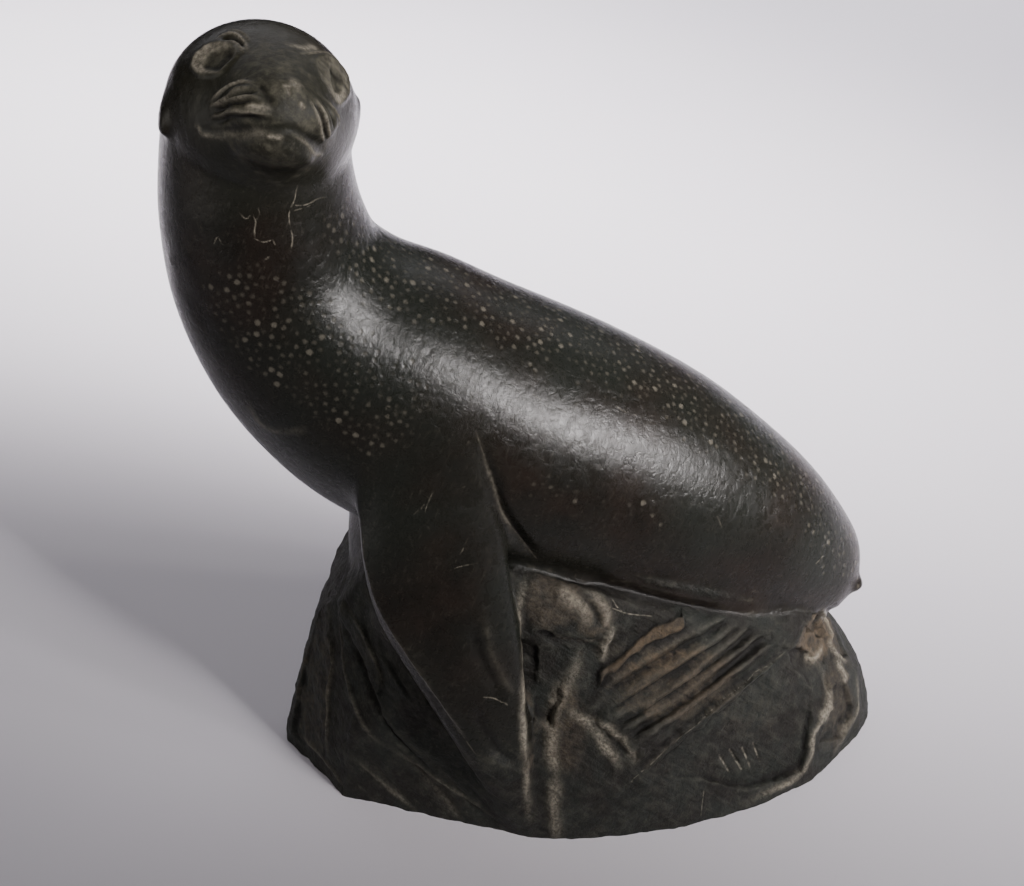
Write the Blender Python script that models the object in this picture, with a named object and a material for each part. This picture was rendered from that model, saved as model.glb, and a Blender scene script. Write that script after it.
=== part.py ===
"""Seal figurine: a seal sitting up on a rock, both carved from one block of dark stone.

The work is one solid, seal_on_rock. +Z is up, +X points to the rump and -X to the chest. -Y is the side
with the near foreflipper, which the face turns towards. The origin is the middle of the flat underside.

The places of the free forms are shares of the figure's height, in units of 1 mm on a figure that is
148.6 mm tall. Stations are read through a smooth curve.
"""

import math

import bmesh
import bpy
import numpy as np
from mathutils import Vector

# Driving dimensions, in metres
FIGURE_HEIGHT = 0.1486
UNIT = FIGURE_HEIGHT / 148.6

# Carved detail, in metres
EYE_LENGTH = 0.0084
EYE_HEIGHT = 0.0058
EYE_RING_WIDTH = 0.0010
EYE_RING_DEPTH = 0.00055
EYE_LID_RAISE = 0.00035
EYE_BALL_RAISE = 0.00025
RIB_DEPTH = 0.0016
RIB_COUNT = 5

# How finely the block is carved, in metres and in triangles, and how much finer the face stays
VOXEL = 0.0009
TRIANGLES = 9900
FACE_REACH = 15.0
FACE_CARE = 0.3
FACE_LEAST = 0.4

# Smoothing: share of the way to the neighbours' mean at each pass, all over and where masses meet
SOFTNESS = 0.5
SOFT_PASSES = 2
BLEND_SOFTNESS = 0.6

# Share of a carved line over which each end runs out, and how many half widths it is felt over
END_SHARE = 0.22
LINE_REACH = 2.6

# How square the flippers' sections are, and over how many rings the hind flipper's ribs open out
PLAIN_SQUARENESS = 2.4
RIBBED_SQUARENESS = 3.4
RIBS_OPEN_OVER = 8.0

# Trunk and neck from the rump to the nape: x, z, half height across the spine, half width in Y
BODY = (
    (53.4, 29.0, 1.5, 1.5),
    (52.2, 29.9, 6.2, 6.6),
    (48.8, 32.0, 10.6, 11.2),
    (42.2, 36.2, 14.5, 14.9),
    (32.8, 42.5, 18.4, 18.6),
    (21.9, 49.4, 21.4, 21.5),
    (10.8, 56.0, 23.6, 23.4),
    (-2.0, 63.0, 24.8, 24.6),
    (-14.2, 69.2, 25.2, 25.2),
    (-26.6, 75.6, 25.2, 25.2),
    (-37.9, 83.1, 24.6, 23.8),
    (-47.5, 92.1, 21.9, 21.4),
    (-53.9, 102.8, 19.0, 19.1),
    (-56.4, 114.0, 17.2, 17.6),
    (-56.7, 124.0, 16.1, 16.4),
    (-55.9, 133.0, 15.0, 15.2),
    (-55.0, 139.0, 12.6, 13.0),
    (-55.0, 143.0, 8.0, 8.5),
    (-55.0, 144.5, 2.0, 2.0),
)

# Head: place of the skull's middle, where the face looks, and stations from the back of the skull to the
# nose: distance forward, lift, half width, half height
HEAD_PLACE = (-54.5, -4.0, 134.8)
HEAD_TURN = math.radians(18.6)
HEAD_TILT = math.radians(28.9)
HEAD_ROLL = math.radians(20.3)
HEAD = (
    (-15.6, 0.0, 2.0, 2.0),
    (-14.2, 0.0, 7.0, 6.8),
    (-10.0, 0.3, 12.0, 11.4),
    (-4.0, 0.3, 15.2, 14.2),
    (1.5, 0.0, 15.3, 14.3),
    (6.0, -0.4, 13.2, 12.9),
    (10.0, -1.0, 10.4, 10.4),
    (14.0, -1.8, 7.8, 7.8),
    (17.0, -2.4, 5.6, 5.6),
    (18.8, -2.8, 3.4, 3.4),
    (19.4, -3.0, 1.2, 1.2),
)

# Rounded masses of the face, in the head's directions: right, forward, up, then their radii.
# Those off the middle are made on both sides.
FACE_MASSES = {
    "whisker pad": ((4.0, 13.4, -2.6), (5.0, 5.6, 3.7)),
    "chin": ((0.0, 11.0, -7.8), (6.6, 6.8, 3.2)),
    "nose": ((0.0, 17.2, 0.2), (2.6, 2.4, 2.2)),
}
# Ears, each set by hand, given as the masses are
EARS = {
    "left ear": ((-15.0, -1.0, -3.0), (1.2, 2.4, 4.2)),
    "right ear": ((15.0, -0.6, 1.2), (1.2, 2.2, 4.6)),
}

# Lines of the face on its right half: half width, depth and path; the other half mirrors them
FACE_LINES = {
    "mouth": (0.55, 0.95, ((0.0, 18.4, -5.6), (4.2, 16.2, -5.4), (7.8, 11.4, -5.4), (10.4, 6.0, -5.6))),
    "brow": (0.6, 0.5, ((4.4, 11.5, 7.6), (4.8, 9.6, 9.2), (6.4, 7.2, 10.2), (9.0, 5.2, 10.0))),
    "upper whisker ridge": (0.5, -0.45, ((4.4, 16.4, 1.2), (7.2, 13.8, 0.7), (9.4, 10.8, -0.4))),
    "middle whisker ridge": (0.5, -0.45, ((3.8, 17.4, -0.8), (7.0, 14.6, -0.9), (9.6, 10.8, -1.8))),
    "lower whisker ridge": (0.5, -0.45, ((2.8, 18.2, -2.8), (6.6, 15.2, -2.8), (9.6, 10.8, -3.4))),
}
EYE_PLACE = (9.2, 10.0, 4.6)
EYE_SLANT = math.radians(36.0)
# Where the sunk ring runs and how far the ball reaches, as shares of the eye's outline
EYE_RING_SHARE = 0.72
EYE_BALL_SHARE = 0.5

# Flippers: stations along the blade: x, y, z, half width, half thickness
NEAR_FORE = (
    (-33.0, -10.0, 95.0, 6.0, 3.0),
    (-32.5, -16.5, 86.0, 10.5, 4.6),
    (-31.8, -19.8, 77.0, 12.2, 5.2),
    (-31.0, -22.9, 66.5, 12.6, 5.2),
    (-29.6, -26.2, 54.0, 12.6, 4.8),
    (-26.2, -29.2, 42.5, 10.8, 4.4),
    (-22.2, -32.0, 28.0, 7.8, 3.8),
    (-18.4, -33.4, 13.5, 5.2, 3.2),
    (-15.8, -33.8, 4.0, 3.4, 2.6),
    (-15.0, -33.8, 0.5, 1.6, 1.4),
)
FAR_FORE = (
    (-28.0, 9.0, 90.0, 6.0, 3.0),
    (-29.0, 14.6, 82.0, 10.0, 4.4),
    (-31.0, 18.8, 73.0, 11.4, 4.8),
    (-33.4, 18.2, 64.0, 11.0, 4.8),
    (-37.6, 11.0, 56.5, 9.6, 4.4),
    (-40.0, 0.0, 49.0, 8.4, 4.2),
    (-39.8, -10.0, 40.5, 7.2, 3.8),
    (-37.2, -18.0, 31.0, 6.0, 3.4),
    (-34.4, -22.4, 24.0, 4.2, 3.0),
    (-33.6, -23.6, 21.0, 1.4, 1.4),
)
HIND = (
    (42.0, -11.5, 33.0, 3.4, 2.2),
    (36.0, -16.2, 33.0, 5.8, 2.8),
    (28.6, -20.2, 32.0, 7.6, 3.2),
    (17.2, -25.4, 29.2, 8.9, 3.2),
    (7.6, -29.2, 25.2, 9.4, 3.0),
    (2.4, -31.4, 22.4, 9.2, 2.8),
    (1.0, -32.0, 21.4, 8.6, 1.6),
)

# The rock's broken shelf under the belly, from the near arm to the hind toes, stations as above
SHELF = (
    (-21.0, -16.0, 47.0, 3.0, 3.0),
    (-19.5, -16.6, 46.6, 8.0, 7.8),
    (-12.0, -19.0, 44.8, 9.4, 8.2),
    (-4.0, -20.0, 43.2, 8.8, 7.6),
    (4.0, -19.0, 42.0, 7.4, 6.8),
    (12.0, -16.6, 41.0, 5.0, 6.0),
    (15.0, -15.4, 40.6, 2.0, 2.4),
)

# Rock: level, reach to -X, to +X, to -Y and to +Y
ROCK = (
    (-3.0, 61.3, 61.5, 37.4, 34.0),
    (6.0, 60.0, 59.4, 37.0, 33.6),
    (14.0, 57.6, 55.8, 35.6, 32.4),
    (23.0, 54.6, 49.0, 32.4, 29.8),
    (37.0, 50.6, 43.4, 27.0, 25.5),
    (47.0, 48.2, 38.6, 24.0, 23.0),
    (66.0, 40.0, 32.0, 18.0, 18.0),
)
# Chisel cuts that flatten the rock: azimuth from the front (-Y) towards -X, rise, and reach from the
# point where the figure's axis meets the ground
CUTS = (
    (56.3, 8.0, 52.2),
    (22.8, 6.0, 38.5),
    (86.0, 28.0, 60.5),
    (-42.0, 9.0, 47.8),
    (-16.0, 14.0, 38.2),
    (-90.0, 48.0, 51.5),
    (0.0, 90.0, 54.0),
    (150.0, 10.0, 36.5),
    (200.0, 12.0, 35.5),
    (118.0, 9.0, 52.5),
)

# Rounded masses beside the main forms: middle, radii
LUMPS = {
    "stone left behind the near arm": ((-30.0, -15.0, 50.0), (9.0, 11.0, 18.0)),
    "tail tip": ((52.6, -6.4, 33.0), (2.6, 2.4, 1.8)),
}

# Carved lines of the body and the rock: half width, depth and path; a negative depth raises a ridge
LINES = {
    "near arm, rear crease": (
        1.3, 1.0,
        (
            (-22.8, -24.0, 83.5), (-20.6, -25.0, 76.0), (-18.7, -25.2, 68.9),
            (-15.1, -24.2, 61.0), (-11.8, -22.6, 55.0),
        ),
    ),
    "near flipper, front rim": (
        1.2, -0.5,
        (
            (-41.1, -22.8, 85.5), (-42.4, -24.2, 74.0), (-42.6, -26.4, 62.0),
            (-39.5, -30.0, 50.4), (-28.2, -35.1, 28.6),
        ),
    ),
    "under the belly": (
        1.0, 1.6,
        (
            (-12.6, -22.6, 54.0), (-4.2, -22.8, 51.4), (3.2, -23.0, 48.4),
            (10.7, -23.0, 45.2), (27.0, -20.6, 38.6),
        ),
    ),
    "channel beside the near flipper": (
        2.7, 1.9,
        (
            (-7.4, -27.0, 38.5), (-9.6, -28.8, 30.6), (-11.2, -31.5, 22.0),
            (-11.5, -34.0, 12.0), (-11.6, -36.0, -6.0),
        ),
    ),
    "ridge beside the flipper": (
        0.9, -0.6,
        ((-16.2, -30.8, 42.0), (-15.7, -34.0, 29.1), (-15.5, -35.3, 19.6), (-15.3, -36.3, -4.0)),
    ),
    "ridge beside the channel": (
        1.1, -1.0,
        (
            (-2.6, -26.4, 38.5), (-6.0, -27.8, 34.1), (-7.4, -31.0, 25.6),
            (-7.2, -33.3, 18.0), (-7.2, -36.6, -4.0),
        ),
    ),
    "ledge above the hind flipper": (
        1.1, -1.1,
        (
            (28.5, -20.0, 40.4), (19.4, -23.0, 40.2), (11.5, -25.0, 38.8),
            (5.2, -26.6, 36.6), (-1.3, -29.2, 31.0),
        ),
    ),
    "fold at the hind toes": (
        1.0, -0.8,
        ((-7.0, -30.6, 26.9), (-4.1, -32.0, 23.9), (-1.2, -33.1, 21.1), (1.3, -34.4, 17.6)),
    ),
    "edge at the rump end": (
        1.0, -0.8,
        (
            (41.6, -18.9, 26.8), (46.7, -16.4, 20.4), (43.3, -21.2, 15.0),
            (45.9, -20.6, 8.0), (41.3, -26.3, 0.0),
        ),
    ),
    "edge at the chest end": (
        0.9, -0.7,
        (
            (-48.4, -5.3, 37.3), (-46.4, -11.0, 37.8), (-43.6, -15.6, 34.4),
            (-41.4, -19.4, 29.4), (-39.6, -23.2, 19.0),
        ),
    ),
}

# Where the masses flow into one another: middle, reach, passes of smoothing
BLENDS = (
    ((-32.0, -23.0, 84.0), 18.0, 140),
    ((-38.0, -24.0, 72.0), 12.0, 90),
    ((-21.0, -24.0, 80.0), 9.0, 60),
    ((-30.0, 22.0, 80.0), 20.0, 140),
    ((-50.0, -14.0, 126.0), 9.0, 24),
    ((-66.0, -2.0, 127.0), 11.0, 60),
    ((-52.0, 9.0, 128.0), 13.0, 60),
    ((-42.0, 2.0, 126.0), 9.0, 24),
)


def smooth_rows(rows, per_span):
    """Rows read through a Catmull-Rom curve, per_span steps between each two."""
    rows = np.asarray(rows, float)
    padded = np.vstack([2 * rows[0] - rows[1], rows, 2 * rows[-1] - rows[-2]])
    out = []
    for i in range(1, len(padded) - 2):
        a, b, c, d = padded[i - 1 : i + 3]
        for t in np.arange(per_span) / per_span:
            bend = 2 * a - 5 * b + 4 * c - d
            turn = 3 * b - a - 3 * c + d
            out.append(0.5 * (2 * b + (c - a) * t + bend * t**2 + turn * t**3))
    out.append(rows[-1])
    return np.array(out)


def new_object(name, mesh_data):
    mesh = bpy.data.meshes.new(name)
    mesh_data.to_mesh(mesh)
    mesh_data.free()
    thing = bpy.data.objects.new(name, mesh)
    bpy.context.scene.collection.objects.link(thing)
    return thing


def loft(name, rings):
    """A closed body through rings of equal count, capped at both ends."""
    work = bmesh.new()
    loops = [[work.verts.new(point) for point in ring] for ring in rings]
    count = len(loops[0])
    for low, high in zip(loops, loops[1:]):
        for i in range(count):
            j = (i + 1) % count
            work.faces.new((low[i], low[j], high[j], high[i]))
    work.faces.new(list(reversed(loops[0])))
    work.faces.new(loops[-1])
    bmesh.ops.recalc_face_normals(work, faces=work.faces)
    return new_object(name, work)


def ring(middle, across, up, half_width, half_height, sides=48, power=2.0):
    """One closed section, an ellipse for power 2 and squarer above it."""
    points = []
    for i in range(sides):
        turn = 2 * math.pi * i / sides
        c, s = math.cos(turn), math.sin(turn)
        u = math.copysign(abs(c) ** (2 / power), c) * half_width
        v = math.copysign(abs(s) ** (2 / power), s) * half_height
        points.append(middle + across * u + up * v)
    return points


def body():
    """Trunk and neck, swept along a spine that lies in the XZ plane."""
    rows = smooth_rows(BODY, 4) * UNIT
    spine = [Vector((row[0], 0.0, row[1])) for row in rows]
    rings = []
    for i, row in enumerate(rows):
        along = (spine[min(i + 1, len(spine) - 1)] - spine[max(i - 1, 0)]).normalized()
        across = Vector((0.0, 1.0, 0.0))
        rings.append(ring(spine[i], across, along.cross(across), row[3], row[2]))
    return loft("body", rings)


def head_axes():
    """The face's right, forward and up directions as the viewer meets it."""
    forward = Vector((
        math.sin(HEAD_TURN) * math.cos(HEAD_TILT),
        -math.cos(HEAD_TURN) * math.cos(HEAD_TILT),
        math.sin(HEAD_TILT),
    ))
    level = Vector((math.cos(HEAD_TURN), math.sin(HEAD_TURN), 0.0))
    upright = forward.cross(level)
    right = level * math.cos(HEAD_ROLL) - upright * math.sin(HEAD_ROLL)
    return right, forward, forward.cross(right)


def on_head(right, forward, up):
    """A place given in the head's own directions, in metres."""
    axes = head_axes()
    place = Vector(HEAD_PLACE) + axes[0] * right + axes[1] * forward + axes[2] * up
    return place * UNIT


def head():
    right, forward, up = head_axes()
    rings = []
    for along, lift, half_width, half_height in smooth_rows(HEAD, 4):
        middle = on_head(0.0, along, lift)
        rings.append(ring(middle, right, up, half_width * UNIT, half_height * UNIT))
    return loft("head", rings)


def blade(name, stations, facing, ribs=0):
    """A flipper: flat sections along a curved path, the flat side turned to facing, fanned into ribs."""
    rows = smooth_rows(stations, 4) * UNIT
    path = [Vector(row[:3]) for row in rows]
    sides = 24 * ribs if ribs else 32
    power = RIBBED_SQUARENESS if ribs else PLAIN_SQUARENESS
    rings = []
    for i, row in enumerate(rows):
        along = (path[min(i + 1, len(path) - 1)] - path[max(i - 1, 0)]).normalized()
        across = along.cross(Vector(facing)).normalized()
        outward = across.cross(along)
        if outward.dot(Vector(facing)) < 0.0:
            outward.negate()
        section = ring(path[i], across, outward, row[3], row[4], sides, power)
        if ribs:
            open_out = min(1.0, i / RIBS_OPEN_OVER)
            for k, point in enumerate(section):
                share = (point - path[i]).dot(across) / row[3]
                if (point - path[i]).dot(outward) > 0.0 and abs(share) < 1.0:
                    groove = 1.0 - abs(math.sin(math.pi * ribs * (share + 1.0) / 2.0)) ** 0.7
                    section[k] = point - outward * RIB_DEPTH * groove * open_out
        rings.append(section)
    return loft(name, rings)


def ellipsoid(name, middle, axes, radii):
    """A rounded mass along three directions."""
    work = bmesh.new()
    bmesh.ops.create_icosphere(work, subdivisions=4, radius=1.0)
    for vert in work.verts:
        share = vert.co.copy()
        vert.co = middle + sum((axes[k] * share[k] * radii[k] * UNIT for k in range(3)), Vector())
    bmesh.ops.recalc_face_normals(work, faces=work.faces)
    return new_object(name, work)


def face_masses():
    axes = head_axes()
    pieces = []
    for name, (place, radii) in FACE_MASSES.items():
        for side in (-1.0, 1.0) if place[0] else (1.0,):
            middle = on_head(side * place[0], place[1], place[2])
            pieces.append(ellipsoid(name, middle, axes, radii))
    for name, (place, radii) in EARS.items():
        pieces.append(ellipsoid(name, on_head(*place), axes, radii))
    return pieces


def lumps():
    axes = (Vector((1, 0, 0)), Vector((0, 1, 0)), Vector((0, 0, 1)))
    return [ellipsoid(name, Vector(place) * UNIT, axes, radii) for name, (place, radii) in LUMPS.items()]


def rock():
    """An oval mound, then flattened by the chisel cuts."""
    rings = []
    for level, left, right, front, back in smooth_rows(ROCK, 3) * UNIT:
        points = []
        for i in range(72):
            turn = 2 * math.pi * i / 72
            c, s = math.cos(turn), math.sin(turn)
            points.append(Vector((c * (right if c > 0 else left), s * (back if s > 0 else front), level)))
        rings.append(points)
    thing = loft("rock", rings)
    work = bmesh.new()
    work.from_mesh(thing.data)
    for azimuth, rise, reach in CUTS:
        side, lift = math.radians(azimuth), math.radians(rise)
        outward = Vector((
            -math.sin(side) * math.cos(lift),
            -math.cos(side) * math.cos(lift),
            math.sin(lift),
        ))
        everything = list(work.verts) + list(work.edges) + list(work.faces)
        cut = bmesh.ops.bisect_plane(
            work, geom=everything, plane_co=outward * reach * UNIT, plane_no=outward, clear_outer=True
        )
        rim = [part for part in cut["geom_cut"] if isinstance(part, bmesh.types.BMEdge)]
        bmesh.ops.holes_fill(work, edges=rim)
    work.to_mesh(thing.data)
    work.free()
    return thing


def join(pieces, name):
    """All bodies in one mesh, still separate until they are remeshed."""
    work = bmesh.new()
    for piece in pieces:
        work.from_mesh(piece.data)
        bpy.data.objects.remove(piece)
    return new_object(name, work)


def remesh(thing, size):
    skin = thing.modifiers.new("one skin", "REMESH")
    skin.mode = "VOXEL"
    skin.voxel_size = size
    skin.adaptivity = 0.0


def applied(thing):
    """The object with its modifiers applied."""
    graph = bpy.context.evaluated_depsgraph_get()
    mesh = bpy.data.meshes.new_from_object(thing.evaluated_get(graph))
    thing.modifiers.clear()
    thing.data = mesh
    return thing


def read_skin(mesh):
    points = np.empty(len(mesh.vertices) * 3, np.float32)
    normals = np.empty_like(points)
    mesh.vertices.foreach_get("co", points)
    mesh.vertex_normals.foreach_get("vector", normals)
    edges = np.empty(len(mesh.edges) * 2, np.int32)
    mesh.edges.foreach_get("vertices", edges)
    return points.reshape(-1, 3).astype(float), normals.reshape(-1, 3).astype(float), edges.reshape(-1, 2)


def write_skin(mesh, points):
    mesh.vertices.foreach_set("co", points.astype(np.float32).ravel())
    mesh.update()


def relax(points, edges, weight, passes):
    """Each point drawn towards the mean of its neighbours, by its weight."""
    count = len(points)
    ends = np.concatenate([edges[:, 0], edges[:, 1]])
    others = np.concatenate([edges[:, 1], edges[:, 0]])
    valence = np.bincount(ends, minlength=count)[:, None]
    for _ in range(passes):
        sums = np.stack([np.bincount(ends, points[others, k], count) for k in range(3)], 1)
        points = points + (sums / valence - points) * weight[:, None]
    return points


def fade(distance, reach):
    """1 at the middle, 0 at the reach, level at both."""
    share = np.clip(1.0 - distance / reach, 0.0, 1.0)
    return share * share * (3.0 - 2.0 * share)


def press(points, normals, path, half_width, depth):
    """A soft groove along a path, pressed in by depth and running out at both ends."""
    path = smooth_rows(path, 6)
    reach = half_width * LINE_REACH
    near = np.all((points > path.min(0) - reach) & (points < path.max(0) + reach), axis=1)
    some = points[near]
    nearest = np.full(len(some), 1e9)
    place = np.zeros(len(some))
    run = np.concatenate([[0.0], np.cumsum(np.linalg.norm(np.diff(path, axis=0), axis=1))])
    for i, (start, end) in enumerate(zip(path, path[1:])):
        step = end - start
        share = np.clip((some - start) @ step / (step @ step), 0.0, 1.0)
        gap = np.linalg.norm(some - (start + share[:, None] * step), axis=1)
        closer = gap < nearest
        nearest[closer] = gap[closer]
        place[closer] = run[i] + share[closer] * (run[i + 1] - run[i])
    ends = np.minimum(place, run[-1] - place)
    strength = np.exp(-((nearest / half_width) ** 2)) * np.clip(ends / (run[-1] * END_SHARE), 0.0, 1.0)
    points[near] -= normals[near] * (strength * depth)[:, None]


def carve_eyes(points, normals):
    """A slightly raised ball inside a sunk ring, with a lid edge around it, on both sides."""
    right, forward, up = (np.array(axis) for axis in head_axes())
    for side in (-1.0, 1.0):
        middle = np.array(on_head(side * EYE_PLACE[0], EYE_PLACE[1], EYE_PLACE[2]))
        gap = np.linalg.norm(points - middle, axis=1)
        near = np.where(gap < EYE_LENGTH)[0]
        outward = normals[near[gap[near] < EYE_HEIGHT / 2]].mean(0)
        outward /= np.linalg.norm(outward)
        level = np.cross(up, outward)
        level /= np.linalg.norm(level)
        rise = np.cross(outward, level)
        inner = level if level @ right * side < 0 else -level
        long_way = inner * math.cos(EYE_SLANT) + rise * math.sin(EYE_SLANT)
        short_way = np.cross(outward, long_way)
        away = points[near] - middle
        share = np.hypot(away @ long_way / (EYE_LENGTH / 2), away @ short_way / (EYE_HEIGHT / 2))
        band = EYE_RING_WIDTH / EYE_HEIGHT
        lid = EYE_LID_RAISE * np.exp(-(((share - 1.0) / band) ** 2))
        sunk = EYE_RING_DEPTH * np.exp(-(((share - EYE_RING_SHARE) / band) ** 2))
        ball = EYE_BALL_RAISE * np.exp(-((share / EYE_BALL_SHARE) ** 2))
        points[near] += normals[near] * (lid - sunk + ball)[:, None]


def carve(thing):
    mesh = thing.data
    points, normals, edges = read_skin(mesh)
    points = relax(points, edges, np.full(len(points), SOFTNESS), SOFT_PASSES)
    for middle, reach, passes in BLENDS:
        gap = np.linalg.norm(points - np.array(middle) * UNIT, axis=1)
        points = relax(points, edges, BLEND_SOFTNESS * fade(gap, reach * UNIT), passes)
    write_skin(mesh, points)
    points, normals, edges = read_skin(mesh)
    for half_width, depth, path in LINES.values():
        press(points, normals, np.array(path) * UNIT, half_width * UNIT, depth * UNIT)
    for half_width, depth, path in FACE_LINES.values():
        for side in (-1.0, 1.0):
            line = np.array([on_head(side * place[0], place[1], place[2]) for place in path])
            press(points, normals, line, half_width * UNIT, depth * UNIT)
    carve_eyes(points, normals)
    write_skin(mesh, points)


def lighten(thing):
    """Fewer triangles, kept where the form turns, then a flat underside at Z 0."""
    count = sum(len(face.vertices) - 2 for face in thing.data.polygons)
    spare = thing.vertex_groups.new(name="spare the face")
    face_middle = on_head(0.0, 12.0, -1.0)
    for vert in thing.data.vertices:
        gap = (vert.co - face_middle).length / (FACE_REACH * UNIT)
        spare.add([vert.index], min(1.0, max(FACE_LEAST, gap)), "REPLACE")
    fewer = thing.modifiers.new("fewer triangles", "DECIMATE")
    fewer.ratio = TRIANGLES / count
    fewer.vertex_group = spare.name
    fewer.vertex_group_factor = FACE_CARE
    applied(thing)
    work = bmesh.new()
    work.from_mesh(thing.data)
    everything = list(work.verts) + list(work.edges) + list(work.faces)
    cut = bmesh.ops.bisect_plane(
        work, geom=everything, plane_co=(0, 0, 0), plane_no=(0, 0, -1), clear_outer=True
    )
    rim = [part for part in cut["geom_cut"] if isinstance(part, bmesh.types.BMEdge)]
    bmesh.ops.holes_fill(work, edges=rim)
    bmesh.ops.triangulate(work, faces=work.faces)
    work.to_mesh(thing.data)
    work.free()


def stone():
    material = bpy.data.materials.new("dark stone")
    material.use_nodes = True
    shader = material.node_tree.nodes["Principled BSDF"]
    shader.inputs["Base Color"].default_value = (0.016, 0.015, 0.012, 1.0)
    shader.inputs["Roughness"].default_value = 0.38
    shader.inputs["Metallic"].default_value = 0.0
    return material


def main():
    for thing in list(bpy.data.objects):
        bpy.data.objects.remove(thing)
    far_hind = [(x, -y, z, half_width, half_thickness) for x, y, z, half_width, half_thickness in HIND]
    pieces = [
        body(),
        head(),
        *face_masses(),
        blade("near foreflipper", NEAR_FORE, (0.0, -1.0, 0.25)),
        blade("far foreflipper", FAR_FORE, (-0.85, -0.35, 0.3)),
        blade("near hind flipper", HIND, (0.17, -0.85, 0.5), RIB_COUNT),
        blade("far hind flipper", far_hind, (0.17, 0.85, 0.5), RIB_COUNT),
        blade("shelf", SHELF, (0.0, -1.0, 0.2)),
        rock(),
        *lumps(),
    ]
    figure = join(pieces, "seal_on_rock")
    remesh(figure, VOXEL)
    applied(figure)
    carve(figure)
    lighten(figure)
    figure.data.materials.clear()
    figure.data.materials.append(stone())


if __name__ == "__main__":
    main()
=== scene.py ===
"""Looks of the seal figurine: a seal sitting up on a rock, carved from one block of dark stone.

The block is built from the same forms as its solid, on a much finer skin, and then carved: lines, steps,
crests and drilled dots are worked into that skin, which also carries the marks that the stone's material
reads. Places and sizes are in millimetres unless a name says otherwise. +Z is up, -X is the chest end,
and -Y is the side that the face turns to.
"""

import itertools
import math

import bmesh
import bpy
import numpy as np
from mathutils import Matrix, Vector
from mathutils.bvhtree import BVHTree
from mathutils.kdtree import KDTree


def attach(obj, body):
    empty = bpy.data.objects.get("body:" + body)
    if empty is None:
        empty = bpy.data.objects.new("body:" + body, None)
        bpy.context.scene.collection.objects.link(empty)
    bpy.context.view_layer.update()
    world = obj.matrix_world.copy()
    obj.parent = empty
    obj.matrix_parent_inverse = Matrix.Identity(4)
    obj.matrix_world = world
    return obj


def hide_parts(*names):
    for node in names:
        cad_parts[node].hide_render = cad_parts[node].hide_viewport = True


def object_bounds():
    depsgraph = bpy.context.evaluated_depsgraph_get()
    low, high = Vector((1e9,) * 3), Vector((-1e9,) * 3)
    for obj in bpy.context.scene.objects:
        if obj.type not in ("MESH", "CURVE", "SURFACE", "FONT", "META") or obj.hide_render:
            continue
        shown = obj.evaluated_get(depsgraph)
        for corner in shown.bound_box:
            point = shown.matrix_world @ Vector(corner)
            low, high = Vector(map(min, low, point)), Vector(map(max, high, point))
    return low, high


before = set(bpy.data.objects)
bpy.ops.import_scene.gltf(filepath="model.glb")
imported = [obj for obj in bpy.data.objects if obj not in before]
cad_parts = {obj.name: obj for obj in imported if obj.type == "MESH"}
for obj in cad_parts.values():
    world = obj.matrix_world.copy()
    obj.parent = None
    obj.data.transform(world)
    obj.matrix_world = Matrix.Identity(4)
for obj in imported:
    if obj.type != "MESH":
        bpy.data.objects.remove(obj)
cad_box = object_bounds()

MM = 0.001
NODE = "seal_on_rock"
SEED = 7

# How finely the block is carved, and how many triangles it is brought down to before its underside is cut.
# The face keeps all of its own, out to a given distance from its middle.
VOXEL = 0.6
TRIANGLES = 230000
FACE_MIDDLE = (0.0, 11.0, 0.5)
FACE_REACH = 15.5

# How the joined masses are evened out: what share of the way to its neighbours' mean each point goes, how
# often, and how much less of it the rock gets. Then the same share where masses flow together, with a factor
# on the passes given there, and how wide the change from seal to rock is.
SOFTNESS = 0.5
SOFT_PASSES = 5
ROCK_CRISPNESS = 0.75
BLEND_SOFTNESS = 0.6
BLEND_PASSES = 2.25
STONE_BAND = 1.2

# Steps between two given places of a path, two given sections of a body and two given levels of the rock,
# and how many sides a section has: those of trunk, head and rock, those of a flipper, and those of one rib
PATH_STEPS = 6
SECTION_STEPS = 4
ROCK_STEPS = 3
BROAD_SIDES = 96
FLIPPER_SIDES = 48
RIB_SIDES = 24

# Camera, from the photograph: where it looks, from which side and height, how far, and its lens
CAMERA_TARGET = (-14.74, -5.68, 70.0)
CAMERA_AZIMUTH = math.radians(-6.0)
CAMERA_RISE = math.radians(33.0)
CAMERA_DISTANCE = 300.0
SENSOR_WIDTH = 36.0
LENS = 57.84

# Trunk and neck from the rump to the nape: x, z, half height across the spine, half width in Y
BODY = (
    (53.4, 29.0, 1.5, 1.5),
    (52.2, 29.9, 6.2, 6.6),
    (48.8, 32.0, 10.6, 11.2),
    (42.2, 36.2, 14.5, 14.9),
    (32.8, 42.5, 18.4, 18.6),
    (21.9, 49.4, 21.4, 21.5),
    (10.8, 56.0, 23.6, 23.4),
    (-2.0, 63.0, 24.8, 24.6),
    (-14.2, 69.2, 25.2, 25.2),
    (-26.6, 75.6, 25.2, 25.2),
    (-37.9, 83.1, 24.6, 23.8),
    (-47.5, 92.1, 21.9, 21.4),
    (-53.9, 102.8, 19.0, 19.1),
    (-56.4, 114.0, 17.2, 17.6),
    (-56.7, 124.0, 16.1, 16.4),
    (-55.9, 133.0, 15.0, 15.2),
    (-55.0, 139.0, 12.6, 13.0),
    (-55.0, 143.0, 8.0, 8.5),
    (-55.0, 144.5, 2.0, 2.0),
)

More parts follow.
